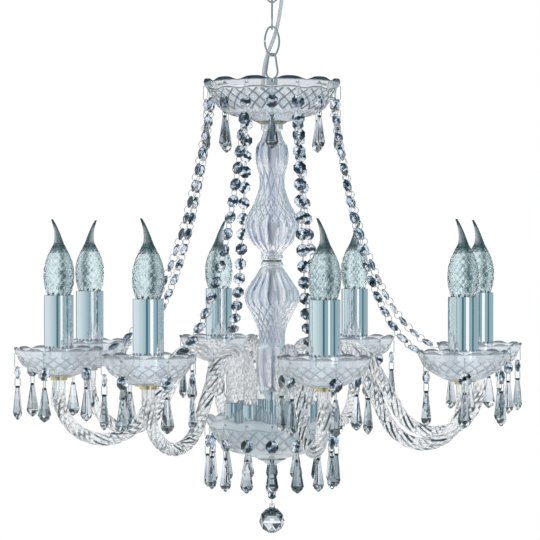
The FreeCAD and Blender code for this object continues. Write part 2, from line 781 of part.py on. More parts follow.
def placed_on_arm(shape, index):
    """Moves a shape made on an arm's plane to that arm, turned in its ferrule."""
    azimuth = first_arm_azimuth + 360.0 * index / arm_count
    pivot = outward(azimuth) * ferrule_circle
    copy = shape.copy()
    copy.translate(Vector(-ferrule_circle, 0, 0))
    turn = Placement(pivot, Rotation(Vector(0, 0, 1), azimuth + arm_swings[index] - 90.0))
    copy.Placement = turn.multiply(copy.Placement)
    return copy


def candle_place(index):
    azimuth = first_arm_azimuth + 360.0 * index / arm_count
    reach = candle_circle - ferrule_circle
    return outward(azimuth) * ferrule_circle + outward(azimuth + arm_swings[index]) * reach


def arm_azimuth(index):
    return first_arm_azimuth + 360.0 * index / arm_count + arm_swings[index]


def arm_cup():
    """The metal cup on the arm's end that carries a bobeche."""
    plate = tube(arm_cup_radius, nipple_radius + seat_gap, cup_plate_z - arm_cup_plate, cup_plate_z)
    bore = arm_radius + glass_gap
    collar = tube(bore + arm_cup_wall, bore, cup_plate_z - arm_cup_plate - arm_cup_collar,
                  cup_plate_z - arm_cup_plate)
    return plate.fuse(collar).removeSplitter()


def lamp_holder():
    """A plastic lamp holder on its threaded nipple."""
    body = Part.makeCylinder(holder_radius, holder_height, Vector(0, 0, holder_foot_z))
    nipple_z = cup_plate_z - arm_cup_plate + seat_gap
    nipple = Part.makeCylinder(nipple_radius, holder_foot_z - nipple_z, Vector(0, 0, nipple_z))
    socket_z = holder_top_z - socket_depth
    socket = Part.makeCylinder(socket_radius, socket_depth + cut_past, Vector(0, 0, socket_z))
    return body.fuse(nipple).cut(socket).removeSplitter()


def bulb():
    """A candle bulb with a bent tip towards +X, and its screw cap."""
    points = [(radius, sleeve_top_z + height) for radius, height in bulb_outline]
    head, foot = points[-1], points[0]
    envelope = revolved([
        straight((0, foot[1]), foot), curve(points), straight(head, (0, head[1])),
        straight((0, head[1]), (0, foot[1])),
    ])
    sections = []
    centres = [Vector(x, 0, sleeve_top_z + z) for x, z, _ in bulb_tip]
    for index, (_, _, radius) in enumerate(bulb_tip):
        ahead = centres[min(index + 1, len(centres) - 1)]
        behind = centres[max(index - 1, 0)]
        heading = Vector(0, 0, 1) if index == 0 else ahead - behind
        sections.append(Part.Wire([Part.makeCircle(radius, centres[index], heading)]))
    tip = Part.makeLoft(sections, True)
    knob = Part.makeSphere(bulb_knob_radius, centres[-1])
    glass = envelope.fuse([tip, knob]).removeSplitter()
    cap_top = bulb_base_z - seat_gap
    cap_foot = cap_top - bulb_cap_length
    shell_foot = cap_foot + bulb_contact_height
    shell = Part.makeCylinder(bulb_cap_radius, cap_top - shell_foot, Vector(0, 0, shell_foot))
    contact = Part.makeCone(bulb_contact_radius, bulb_cap_radius, bulb_contact_height, Vector(0, 0, cap_foot))
    return Part.makeCompound([glass, shell.fuse(contact).removeSplitter()])


def on_candles(shape):
    return Part.makeCompound([turned_to(shape, arm_azimuth(i), candle_place(i)) for i in range(arm_count)])


# ---------------------------------------------------------------- ball
def ball_drop():
    """Ring, small bead, ring and faceted ball below the finial's eye."""
    scale = small_bead_scale
    offset = bead_hole_offset * scale
    eye_wire_z = finial_eye_z - finial_eye_radius
    ring_radius = bead_pitch / 2 - bead_hole_offset
    ring_top_z = eye_wire_z + finial_wire_radius + wire_radius + move_gap
    ring_z = ring_top_z - ring_radius
    normal = Vector(1, 0, 0)
    hole_z = ring_z - ring_radius
    bead = octagon_bead(scale)
    bead.rotate(Vector(0, 0, 0), Vector(0, 0, 1), 90)
    bead = at_height(bead, hole_z - offset)
    lower_hole_z = hole_z - 2 * offset
    hub_hole_z = lower_hole_z - 2 * ring_radius
    rings = [Part.makeTorus(ring_radius, wire_radius, Vector(0, 0, ring_z), normal),
             Part.makeTorus(ring_radius, wire_radius, Vector(0, 0, (lower_hole_z + hub_hole_z) / 2), normal)]
    centre_z = hub_hole_z - ball_hub_hole_rise - ball_radius
    sections = []
    for share in ball_levels:
        radius = ball_radius * math.sqrt(1 - share ** 2)
        sections.append(polygon(radius, radius, ball_sides, centre_z + share * ball_radius))
    body = faceted(sections)
    hub = faceted([polygon(*ball_hub_foot, 8, centre_z + ball_radius - ball_hub_sink),
                   polygon(*ball_hub_head, 8, centre_z + ball_radius + ball_hub_head_rise)])
    hole = Part.makeCylinder(bead_hole_radius, 4 * ball_hub_foot[1],
                             Vector(0, -2 * ball_hub_foot[1], hub_hole_z), Vector(0, 1, 0))
    return Part.makeCompound(rings + [bead, body.fuse(hub).cut(hole).removeSplitter()])


# ---------------------------------------------------------------- assembly
drop_azimuths = [720.0 * i / pins_per_dish for i in range(pins_per_dish // 2)]
garland_azimuths = [drop_azimuths[i] + 360.0 / pins_per_dish for i in range(arm_count)]
all_pins = [360.0 * i / pins_per_dish for i in range(pins_per_dish)]
bobeche_azimuths = [180.0 + 360.0 * i / bobeche_pins for i in range(bobeche_pins)]
dish_hole = rod_radius + glass_gap

top_dish, top_pin_x = dish(top_dish_radius, dish_depth, dish_wall, dish_wall, dish_bowl, dish_hole,
                           dish_scallops, dish_scallop_depth, all_pins, dish_pin_drop)
bottom_dish, bottom_pin_x = dish(bottom_dish_radius, dish_depth, dish_wall, dish_wall, dish_bowl, dish_hole,
                                 dish_scallops, dish_scallop_depth, all_pins, dish_pin_drop)
bobeche, bobeche_pin_x = dish(bobeche_radius, bobeche_depth, bobeche_wall, bobeche_floor, bobeche_bowl,
                              nipple_radius + glass_gap, bobeche_scallops, bobeche_scallop_depth,
                              [90.0 + azimuth for azimuth in bobeche_azimuths], bobeche_pin_drop)
bobeche = at_height(bobeche, bobeche_foot_z)
top_pin_z = top_rim_z - dish_pin_drop - pin_sag
bottom_pin_z = bottom_rim_z - dish_pin_drop - pin_sag
bobeche_pin_z = bobeche_rim_z - bobeche_pin_drop - pin_sag

nodes = {
    "ceiling_plate": ceiling_plate(),
    "ceiling_hook": ceiling_hook(),
    "ceiling_cup": ceiling_cup(),
    "cup_collar": tube(collar_radius, hook_stem_radius + seat_gap,
                       -cup_depth - seat_gap - collar_height, -cup_depth - seat_gap),
    "terminal_block": terminal_block(),
    "power_cable": power_cable(),
}
for index, turn in enumerate(link_turns):
    nodes["chain_link_%d" % (index + 1)] = oval_link(turn, link_top_z[index])

rod_top_z = eye_foot_z - eye_boss_height + eye_socket_depth - seat_gap
rod_foot_z = finial_top_z - rod_socket_depth + seat_gap
nodes.update({
    "top_eye": top_eye(),
    "center_rod": tube(rod_radius, rod_bore_radius, rod_foot_z, rod_top_z),
    "column_cap": column_cap(),
    "top_dish": at_height(top_dish, top_dish_foot_z),
    "column_washers": column_washers(),
    "column_upper": glass_turning(upper_outline, column_top_z),
    "column_collar": collar_rings(),
    "column_lower": glass_turning(lower_outline, lower_top_z),
    "arm_hub": arm_hub(),
    "bottom_dish": at_height(bottom_dish, bottom_dish_foot_z),
    "finial": finial(),
})
ferrule = tube(ferrule_radius, arm_radius + glass_gap, hub_plate_z + seat_gap, ferrule_top_z)
ferrule.translate(Vector(ferrule_circle, 0, 0))
nodes["arm_ferrules"] = Part.makeCompound([placed_on_arm(ferrule, i) for i in range(arm_count)])

one_arm = arm_shape()
one_bulb = bulb()
crystal_drop = drop()
for index in range(arm_count):
    name = index + 1
    nodes["arm_%d" % name] = placed_on_arm(one_arm, index)
    nodes["bobeche_%d" % name] = turned_to(bobeche, arm_azimuth(index), candle_place(index))
    nodes["bulb_%d" % name] = turned_to(one_bulb, bulb_tip_azimuths[index], candle_place(index))
    azimuth = drop_azimuths[index]
    place = outward(azimuth) * top_pin_x + Vector(0, 0, top_pin_z)
    nodes["top_drop_%d" % name] = Part.makeCompound([turned_to(s, azimuth, place) for s in crystal_drop])
nodes["arm_cups"] = on_candles(arm_cup())
nodes["lamp_holders"] = on_candles(lamp_holder())
nodes["candle_sleeves"] = on_candles(tube(sleeve_radius, sleeve_radius - sleeve_wall,
                                          candle_floor_z, sleeve_top_z))
nodes["ball_drop"] = ball_drop()

bottom_drops = []
for azimuth in all_pins:
    place = outward(azimuth) * bottom_pin_x + Vector(0, 0, bottom_pin_z)
    bottom_drops += [turned_to(s, azimuth, place) for s in crystal_drop]
nodes["bottom_drops"] = Part.makeCompound(bottom_drops)

bobeche_drops = []
garlands = []
for index in range(arm_count):
    centre = candle_place(index) + Vector(0, 0, bobeche_pin_z)
    for step in bobeche_azimuths[1:]:
        azimuth = arm_azimuth(index) + step
        place = centre + outward(azimuth) * bobeche_pin_x
        bobeche_drops += [turned_to(s, azimuth, place) for s in crystal_drop]
    heading = outward(garland_azimuths[index])
    hook = heading * top_pin_x + Vector(0, 0, top_pin_z)
    inner_hole = centre + outward(arm_azimuth(index) + bobeche_azimuths[0]) * bobeche_pin_x
    garlands += garland(hook, heading, inner_hole)
nodes["bobeche_drops"] = Part.makeCompound(bobeche_drops)
nodes["garlands"] = Part.makeCompound(garlands)

os.makedirs("parts", exist_ok=True)
for name, shape in nodes.items():
    shape.exportStep("parts/%s.step" % name)
print(len(nodes), "nodes; candle circle", round(candle_circle, 1), "overall foot",
      round(nodes["ball_drop"].BoundBox.ZMin, 1))
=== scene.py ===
import math
import random

import bmesh
import bpy
import numpy as np
from mathutils import Matrix, Vector


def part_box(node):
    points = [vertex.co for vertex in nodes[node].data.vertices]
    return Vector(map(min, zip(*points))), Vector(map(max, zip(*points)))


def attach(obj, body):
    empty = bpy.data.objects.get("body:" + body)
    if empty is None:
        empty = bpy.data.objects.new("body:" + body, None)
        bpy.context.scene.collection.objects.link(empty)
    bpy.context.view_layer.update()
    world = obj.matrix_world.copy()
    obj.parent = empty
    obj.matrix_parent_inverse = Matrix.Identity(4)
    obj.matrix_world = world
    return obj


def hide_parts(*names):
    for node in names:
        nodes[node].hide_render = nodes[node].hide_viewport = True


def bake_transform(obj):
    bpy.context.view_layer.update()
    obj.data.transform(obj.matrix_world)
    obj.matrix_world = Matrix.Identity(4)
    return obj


# Eight-arm cut-glass chandelier.  Sizes are in millimetres and become metres when a
# mesh is made.  Azimuths are degrees about Z from -Y towards +X, as in the frame.

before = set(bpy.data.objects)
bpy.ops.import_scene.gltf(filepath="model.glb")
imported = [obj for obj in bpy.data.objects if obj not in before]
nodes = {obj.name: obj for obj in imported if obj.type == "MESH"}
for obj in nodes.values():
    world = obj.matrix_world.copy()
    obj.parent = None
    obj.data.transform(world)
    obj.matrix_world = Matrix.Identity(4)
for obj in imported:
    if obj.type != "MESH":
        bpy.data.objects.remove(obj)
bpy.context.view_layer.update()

MM = 0.001
TAU = 2 * math.pi

# ---------------------------------------------------------------- sizes shared with the frame
ARM_COUNT = 8
FIRST_ARM_AZIMUTH = 13.5
ARM_SWINGS = (-0.9, -1.5, -3.0, 8.3, 2.7, 4.8, 2.0, -0.4)
FERRULE_CIRCLE = 47.0
ARM_RADIUS = 7.25
ARM_END_GAP = 3.0
ARM_INNER_RISE = 26.4
ARCH_RADIUS = 38.0
ARM_SLOPE = math.radians(60.4)
ARM_SLOPE_LENGTH = 65.3
BOWL_RADIUS = 52.0
ARM_OUTER_RISE = 18.9
GLASS_BORE = 5.4
UPPER_OUTLINE = (
    (12.6, 0.0), (12.6, 6.0), (10.2, 9.0), (13.8, 19.0), (18.4, 26.0), (19.5, 38.0),
    (16.7, 51.8), (14.6, 60.0), (14.9, 72.0), (20.6, 90.3), (26.5, 101.2), (30.8, 112.3),
    (30.8, 121.0), (27.1, 130.6), (21.9, 138.0), (13.6, 145.5), (12.0, 149.4),
)
LOWER_OUTLINE = (
    (12.5, 0.0), (18.6, 9.2), (24.6, 18.2), (30.4, 27.0), (31.5, 36.0), (29.4, 43.7),
    (24.0, 53.4), (20.0, 62.1), (16.3, 71.0), (15.0, 80.0), (15.4, 88.6), (18.4, 93.5),
    (19.0, 110.0), (18.2, 126.0), (14.5, 142.0),
)
COLLAR_HEIGHT = 6.6
COLLAR_RADIUS = 13.0
COLLAR_NECK = 11.2
DISH_DEPTH = 48.3
DISH_WALL = 3.0
DISH_BOWL = ((0.225, 0.0), (0.34, 0.05), (0.49, 0.11), (0.63, 0.18), (0.78, 0.33), (0.878, 0.557))
DISH_SCALLOPS = 12
DISH_SCALLOP_DEPTH = 3.8
DISH_PINS = 16
DISH_PIN_DROP = 6.2
PIN_HOLE_RADIUS = 1.5
BOBECHE_RADIUS = 50.0
BOBECHE_DEPTH = 32.0
BOBECHE_WALL = 2.6
BOBECHE_FLOOR = 3.4
BOBECHE_HOLE = 5.2
BOBECHE_BOWL = ((0.35, 0.0), (0.46, 0.06), (0.62, 0.19), (0.80, 0.36), (0.89, 0.54))
BOBECHE_SCALLOPS = 12
BOBECHE_SCALLOP_DEPTH = 2.6
BOBECHE_PINS = 6
BOBECHE_PIN_DROP = 5.0
BULB_OUTLINE = ((6.6, -21.0), (9.0, -14.0), (13.4, 0.0), (16.5, 10.0), (17.5, 21.0), (16.9, 31.0),
                (14.2, 41.0), (9.6, 51.0), (6.2, 57.0))
BULB_TIP = ((0.0, 57.0, 6.2), (0.5, 63.0, 4.3), (2.2, 71.0, 2.9), (4.9, 79.0, 1.9), (7.6, 85.0, 1.2))
BULB_TIP_AZIMUTHS = (-90.0, -90.0, -90.0, 60.0, 90.0, 90.0, -90.0, -90.0)
BULB_WALL = 1.0
CAP_RADIUS = 7.0
CAP_LENGTH = 22.0
CABLE_RADIUS = 2.1
CABLE_ROUTE = (
    (14.0, 6.0, -9.2),
    (14.0, 6.0, -52.0),
    (10.6, 6.5, -86.0),
    (5.4, 6.6, -116.0),
    (-4.2, 6.8, -140.0),
    (-9.2, 6.4, -156.0),
    (-10.9, 5.4, -189.7),
    (-10.9, 5.4, -205.6),
)


def height_of(node, top):
    """The height of a node's top or foot, in millimetres."""
    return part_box(node)[1 if top else 0].z / MM


# ---------------------------------------------------------------- camera
PHOTO_SIZE = 540.0
LENS_DISTANCE = 2200.0      # the photograph's picture distance, in its own picture elements
HORIZON_ABOVE_MIDDLE = 36.0
AXIS_RIGHT_OF_MIDDLE = 2.0
CAMERA_DISTANCE = 2530.0
CAMERA_HEIGHT = -349.6


def make_camera():
    data = bpy.data.cameras.new("camera")
    camera = bpy.data.objects.new("camera", data)
    bpy.context.scene.collection.objects.link(camera)
    data.lens = data.sensor_width * LENS_DISTANCE / PHOTO_SIZE
    data.clip_start = 0.1
    data.clip_end = 60.0
    camera.location = (0.0, -CAMERA_DISTANCE * MM, CAMERA_HEIGHT * MM)
    down = math.atan(HORIZON_ABOVE_MIDDLE / LENS_DISTANCE)
    aside = math.atan(AXIS_RIGHT_OF_MIDDLE / LENS_DISTANCE)
    camera.rotation_euler = (math.pi / 2 - down, 0, aside)
    bpy.context.scene.camera = camera


make_camera()


# ---------------------------------------------------------------- materials
def material(name, **settings):
    """A Principled material with these socket values, spaces in names written as _."""
    made = bpy.data.materials.new(name)
    made.use_nodes = True
    shader = made.node_tree.nodes["Principled BSDF"]
    for key, value in settings.items():
        shader.inputs[key.replace("_", " ")].default_value = value
    return made


def add_relief(made, kind, scale, depth, strength):
    """Fine relief from a noise or cell texture on the object's own coordinates; depth in millimetres."""
    tree = made.node_tree
    shader = tree.nodes["Principled BSDF"]
    coords = tree.nodes.new("ShaderNodeTexCoord")
    texture = tree.nodes.new(kind)
    texture.inputs["Scale"].default_value = scale
    relief = tree.nodes.new("ShaderNodeBump")
    relief.inputs["Distance"].default_value = depth * MM
    relief.inputs["Strength"].default_value = strength
    tree.links.new(coords.outputs["Object"], texture.inputs["Vector"])
    tree.links.new(texture.outputs[0], relief.inputs["Height"])
    tree.links.new(relief.outputs["Normal"], shader.inputs["Normal"])
    return made


def add_mottle(made, scale, low, high):
    """Roughness that wanders a little over the surface."""
    tree = made.node_tree
    shader = tree.nodes["Principled BSDF"]
    coords = tree.nodes.new("ShaderNodeTexCoord")
    texture = tree.nodes.new("ShaderNodeTexNoise")
    texture.inputs["Scale"].default_value = scale
    spread = tree.nodes.new("ShaderNodeMapRange")
    spread.inputs["To Min"].default_value = low
    spread.inputs["To Max"].default_value = high
    tree.links.new(coords.outputs["Object"], texture.inputs["Vector"])
    tree.links.new(texture.outputs[0], spread.inputs["Value"])
    tree.links.new(spread.outputs["Result"], shader.inputs["Roughness"])
    return made


def add_tone(made, colours):
    """Base colour from the attribute Tone, by even steps from 0 to 1 through the colours."""
    tree = made.node_tree
    tone = tree.nodes.new("ShaderNodeAttribute")
    tone.attribute_name = "Tone"
    ramp = tree.nodes.new("ShaderNodeValToRGB")
    stops = ramp.color_ramp.elements
    while len(stops) < len(colours):
        stops.new(0.5)
    for i, colour in enumerate(colours):
        stops[i].position = i / (len(colours) - 1)
        stops[i].color = (*colour, 1)
    tree.links.new(tone.outputs["Fac"], ramp.inputs["Fac"])
    tree.links.new(ramp.outputs["Color"], tree.nodes["Principled BSDF"].inputs["Base Color"])
    return made


def glass(name, colours, ior, roughness=0.0, clear=1.0):
    made = material(name, Transmission_Weight=clear, IOR=ior, Roughness=roughness)
    return add_tone(made, colours)


def metal(name, colour, low, high):
    made = material(name, Base_Color=(*colour, 1), Metallic=1.0)
    return add_mottle(made, 60.0, low, high)


# painted reflections: a facet's tone is one of these steps, from pale through blue to dark, and ROSE and CYAN are
# painted coloured glints of split light
PALE, BLUE, DARK, ROSE, CYAN = 0.0, 0.25, 0.5, 0.75, 1.0
PAINTED_GLINTS = ((0.95, 0.55, 0.75), (0.45, 0.85, 0.98))
# each glass's Tone ramp runs from its own colour to a dark colour, with which shade and reflections of the room are
# painted onto its cuts and facets
CUT_GLASS = add_relief(glass("cut_glass", ((0.94, 0.975, 1.0), (0.012, 0.04, 0.06)), 1.4, 0.05, 0.8),
                       "ShaderNodeTexNoise", 160.0, 0.05, 0.2)
# painted light: a paler, milkier copy of the cut glass, so that the bottom dish shows brighter than its light makes it
BRIGHTENED_CUT_GLASS = add_relief(glass("brightened_cut_glass", ((0.93, 0.985, 1.0), (0.03, 0.09, 0.13)), 1.35, 0.08, 0.70),
                        "ShaderNodeTexNoise", 160.0, 0.05, 0.2)
COLUMN_GLASS = add_relief(glass("column_glass", ((0.93, 0.965, 1.0), (0.03, 0.09, 0.25)), 1.4, 0.02, 0.79),
                          "ShaderNodeTexNoise", 120.0, 0.04, 0.2)
ARM_GLASS = add_relief(glass("arm_glass", ((0.985, 0.995, 1.0), (0.002, 0.010, 0.016)), 1.33, 0.0, 0.84),
                       "ShaderNodeTexNoise", 60.0, 0.03, 0.1)
BEAD_GLASS = add_relief(glass("bead_glass", ((0.95, 0.97, 1.0), (0.34, 0.50, 0.70), (0.001, 0.006, 0.012),
                                             *PAINTED_GLINTS), 1.6), "ShaderNodeTexNoise", 500.0, 0.03, 0.1)
PENDANT_GLASS = add_relief(glass("pendant_glass", ((0.95, 0.97, 1.0), (0.36, 0.44, 0.48), (0.004, 0.01, 0.012),
                                                   *PAINTED_GLINTS), 1.6), "ShaderNodeTexNoise", 500.0, 0.03, 0.1)
BULB_GLASS = add_relief(glass("bulb_glass", ((0.88, 0.97, 0.98), (0.03, 0.075, 0.085)), 1.4, 0.01, 0.96),
                        "ShaderNodeTexNoise", 90.0, 0.1, 0.3)
FILAMENT_GLASS = add_relief(glass("stem_glass", ((0.92, 0.95, 0.96), (0.3, 0.35, 0.36)), 1.45),
                            "ShaderNodeTexNoise", 300.0, 0.1, 0.1)
CHROME = metal("chrome", (0.93, 0.97, 1.0), 0.03, 0.08)
# painted shade: a darker copy of the chrome for the hub and ferrules
SHADED_CHROME = metal("shaded_chrome", (0.72, 0.79, 0.83), 0.02, 0.05)
STEEL = metal("chain_steel", (0.46, 0.49, 0.51), 0.06, 0.14)
SATIN = metal("satin_tube", (0.84, 0.86, 0.95), 0.4, 0.55)
WIRE = metal("silver_wire", (0.72, 0.72, 0.69), 0.08, 0.2)
BRASS = metal("brass", (0.86, 0.70, 0.40), 0.08, 0.2)
DARK_BRASS = metal("dark_brass", (0.30, 0.27, 0.20), 0.12, 0.3)
PLASTIC = add_relief(material("holder_plastic", Base_Color=(0.83, 0.83, 0.80, 1), Roughness=0.35),
                     "ShaderNodeTexNoise", 400.0, 0.1, 0.2)
SHEATH = add_relief(material("cable_sheath", Base_Color=(0.62, 0.66, 0.69, 1), Roughness=0.2,
                             Transmission_Weight=0.5), "ShaderNodeTexNoise", 200.0, 0.1, 0.2)


# ---------------------------------------------------------------- mesh helpers
def mesh_from(name, points, faces):
    """A mesh from points in millimetres."""
    mesh = bpy.data.meshes.new(name)
    mesh.from_pydata((np.asarray(points, float) * MM).tolist(), [], faces)
    mesh.update()
    return mesh


def set_tone(mesh, tones, domain="FACE"):
    """How dark each face or point of a glass piece is."""
    attribute = mesh.attributes.new("Tone", "FLOAT", domain)
    attribute.data.foreach_set("value", np.asarray(tones, np.float32).ravel())


def piece(name, mesh, look, body, stands_for=(), smooth=True):
    """Adds a mesh as a piece that rides on a body and stands for these nodes."""
    mesh.materials.append(look)
    mesh.polygons.foreach_set("use_smooth", [smooth] * len(mesh.polygons))
    made = bpy.data.objects.new(name, mesh)
    bpy.context.scene.collection.objects.link(made)
    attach(made, body)
    if stands_for:
        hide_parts(*stands_for)
    return made


def loop_faces(rows, around, closed):
    """Quads between rings of points, each ring closed on itself; closed joins last ring to first."""
    i = np.arange(rows if closed else rows - 1)[:, None]
    j = np.arange(around)[None, :]
    ahead = (j + 1) % around
    following = (i + 1) % rows
    quads = np.stack([i * around + j, i * around + ahead, following * around + ahead, following * around + j], -1)
    return quads.reshape(-1, 4).tolist()


def capped(faces, rows, around):
    """Adds a flat face on the first and on the last ring."""
    first = list(range(around))[::-1]
    last = [(rows - 1) * around + j for j in range(around)]
    return faces + [first, last]


def smooth_line(points, steps):
    """A Catmull-Rom line through points of any size."""
    corners = np.array(points, float)
    corners = np.vstack([2 * corners[0] - corners[1], corners, 2 * corners[-1] - corners[-2]])
    t = np.linspace(0, 1, steps, endpoint=False)[:, None]
    runs = []
    for a, b, c, d in zip(corners, corners[1:], corners[2:], corners[3:]):
        runs.append(0.5 * (2 * b + (c - a) * t + (2 * a - 5 * b + 4 * c - d) * t ** 2
                           + (3 * b - a - 3 * c + d) * t ** 3))
    return np.vstack(runs + [corners[-2]])


def lathe(rows, around, cut=None):
    """Points of a turning about Z from rows of (radius, height, share of the cut), and how deep each is cut."""
    radius, height, share = (column[:, None] for column in np.array(rows, float).T)
    angle = np.arange(around)[None, :] * TAU / around
    reach = radius + 0 * angle
    depth = 0 * reach
    if cut is not None:
        depth = share * cut(angle, height + 0 * angle, reach)
    reach = reach - depth
    points = np.stack([reach * np.sin(angle), -reach * np.cos(angle), height + 0 * angle], -1)
    return points.reshape(-1, 3), depth.ravel()


def outward(azimuth):
    angle = math.radians(azimuth)
    return Vector((math.sin(angle), -math.cos(angle), 0))


def window(x, low, high, fade):
    """1 between low and high, fading to 0 at both ends."""
    return np.clip(np.minimum((x - low) / fade, (high - x) / fade), 0, 1)


# ---------------------------------------------------------------- cuts in glass
def petals(angle, height, low, high, count, depth, turn=0.0):
    """Pointed hollow cuts side by side, from one height to another."""
    across = 2 * np.mod(count * angle / TAU + turn + 0.5, 1.0) - 1
    along = np.clip((height - low) / (high - low), 0, 1)
    wide = np.sin(math.pi * along) ** 0.6
    return depth * np.maximum(0, wide ** 2 - across ** 2)


def net(angle, height, count, pitch, depth, turn=0.0):
    """Two crossing sets of spiral grooves that leave diamonds."""
    wind = math.pi * height / pitch
    first = np.abs(np.sin(count * angle / 2 + turn + wind))
    second = np.abs(np.sin(count * angle / 2 + turn - wind))
    return depth * (1 - np.minimum(first, second)) ** 2.5


def stripes(angle, count, depth):
    """Upright hollow flutes with sharp ridges between them."""
    return depth * np.abs(np.sin(count * angle / 2))


# ---------------------------------------------------------------- arms
HUB_PLATE = height_of("arm_ferrules", False)
FERRULE_TOP = height_of("arm_ferrules", True)
ARCH_X = FERRULE_CIRCLE + ARCH_RADIUS
ARCH_Z = FERRULE_TOP + ARM_INNER_RISE
SLOPE_TOP = (ARCH_X + ARCH_RADIUS * math.sin(ARM_SLOPE), ARCH_Z + ARCH_RADIUS * math.cos(ARM_SLOPE))
SLOPE_FOOT = (SLOPE_TOP[0] + ARM_SLOPE_LENGTH * math.cos(ARM_SLOPE),
              SLOPE_TOP[1] - ARM_SLOPE_LENGTH * math.sin(ARM_SLOPE))
BOWL_X = SLOPE_FOOT[0] + BOWL_RADIUS * math.sin(ARM_SLOPE)
BOWL_Z = SLOPE_FOOT[1] + BOWL_RADIUS * math.cos(ARM_SLOPE)
CANDLE_CIRCLE = BOWL_X + BOWL_RADIUS
ARM_END = BOWL_Z + ARM_OUTER_RISE
TWIST_LENGTH = 100.0        # one turn of the strands
STRANDS = 7
STRAND_DEPTH = 1.3
STROKE_LENGTH = 21.0        # of the dark strokes painted into the grooves as shade


def arm_azimuth(index):
    return FIRST_ARM_AZIMUTH + 360.0 * index / ARM_COUNT + ARM_SWINGS[index]


def arm_pivot(index):
    return outward(FIRST_ARM_AZIMUTH + 360.0 * index / ARM_COUNT) * FERRULE_CIRCLE


def candle_place(index):
    return arm_pivot(index) + outward(arm_azimuth(index)) * (CANDLE_CIRCLE - FERRULE_CIRCLE)


def arm_line(step=1.2):
    """The arm's centre line as rows of (x, z, heading)."""
    rows = []

    def run(start, end):
        heading = math.atan2(end[1] - start[1], end[0] - start[0])
        for t in np.arange(0, 1, step / math.dist(start, end)):
            rows.append((start[0] + (end[0] - start[0]) * t, start[1] + (end[1] - start[1]) * t, heading))

    def bend(x, z, radius, first, last):
        side = math.copysign(math.pi / 2, last - first)
        for t in np.arange(0, 1, step / (radius * abs(last - first))):
            angle = first + (last - first) * t
            rows.append((x + radius * math.cos(angle), z + radius * math.sin(angle), angle + side))

    lean = math.pi / 2 - ARM_SLOPE
    run((FERRULE_CIRCLE, HUB_PLATE + ARM_END_GAP), (FERRULE_CIRCLE, ARCH_Z))
    bend(ARCH_X, ARCH_Z, ARCH_RADIUS, math.pi, lean)
    run(SLOPE_TOP, SLOPE_FOOT)
    bend(BOWL_X, BOWL_Z, BOWL_RADIUS, math.pi + lean, TAU)
    run((CANDLE_CIRCLE, BOWL_Z), (CANDLE_CIRCLE, ARM_END))
    rows.append((CANDLE_CIRCLE, ARM_END, math.pi / 2))
    return np.array(rows)


def twisted_arm(around=108):
    """Points, faces and tones of a bent glass arm whose outside is drawn into twisted strands; the tones paint dark
    strokes of shade in the grooves.
    """
    line = arm_line()
    steps = np.linalg.norm(np.diff(line[:, :2], axis=0), axis=1)
    run = np.concatenate([[0], np.cumsum(steps)])[:, None]
    plain_inner = HUB_PLATE + ARM_END_GAP - FERRULE_TOP
    ease = np.clip(np.minimum((run + plain_inner) / 10, (run[-1] - 10 - run) / 10), 0, 1)
    angle = np.arange(around)[None, :] * TAU / around
    turned = angle - TAU * run / TWIST_LENGTH
    groove = (0.5 - 0.5 * np.cos(STRANDS * turned)) ** 2
    outer = ARM_RADIUS - ease * STRAND_DEPTH * groove
    strand = np.mod(np.floor(STRANDS * turned / TAU + 0.5).astype(int), STRANDS)
    stretch = (run / STROKE_LENGTH).astype(int) + 0 * strand
    # painted shade: each stretch of each strand's groove gets a pale, mid or dark stroke
    strokes = np.random.default_rng(7).choice((0.0, 0.4, 1.0), (stretch.max() + 1, STRANDS))
    # the painted strokes are fainter near the hub end, within 90 mm, and full from 150 mm on
    paler_inside = 0.3 + 0.7 * np.clip((run - 90) / 60, 0, 1)
    ends = np.clip(4 * np.abs(np.sin(math.pi * run / STROKE_LENGTH)), 0, 1)
    tone = ease * ends * paler_inside * strokes[stretch, strand] * np.clip(5.0 * groove - 1.0, 0, 1)
    heading = line[:, 2][:, None]
    x = line[:, 0][:, None] - np.sin(heading) * outer * np.cos(angle)
    z = line[:, 1][:, None] + np.cos(heading) * outer * np.cos(angle)
    points = np.stack([x, -outer * np.sin(angle), z], -1).reshape(-1, 3)
    return points, capped(loop_faces(len(line), around, closed=False), len(line), around), tone


def on_arm(points, index):
    """Points made on an arm's upright plane, x from the axis, moved to that arm."""
    heading = np.array(outward(arm_azimuth(index)))
    across = np.cross((0, 0, 1), heading)
    local = points - np.array((FERRULE_CIRCLE, 0, 0))
    return (np.array(arm_pivot(index)) + np.outer(local[:, 0], heading) + np.outer(local[:, 1], across)
            + np.outer(local[:, 2], (0, 0, 1)))


def add_arms():
    points, faces, tones = twisted_arm()
    for index in range(ARM_COUNT):
        name = "arm_%d" % (index + 1)
        mesh = mesh_from("glass_" + name, on_arm(points, index), faces)
        set_tone(mesh, tones, "POINT")
        piece("glass_" + name, mesh, ARM_GLASS, "frame", [name])


# ---------------------------------------------------------------- column
# how dark the column's painted shade runs
COLUMN_TONE = 0.8
PETAL_DEPTH = 3.0


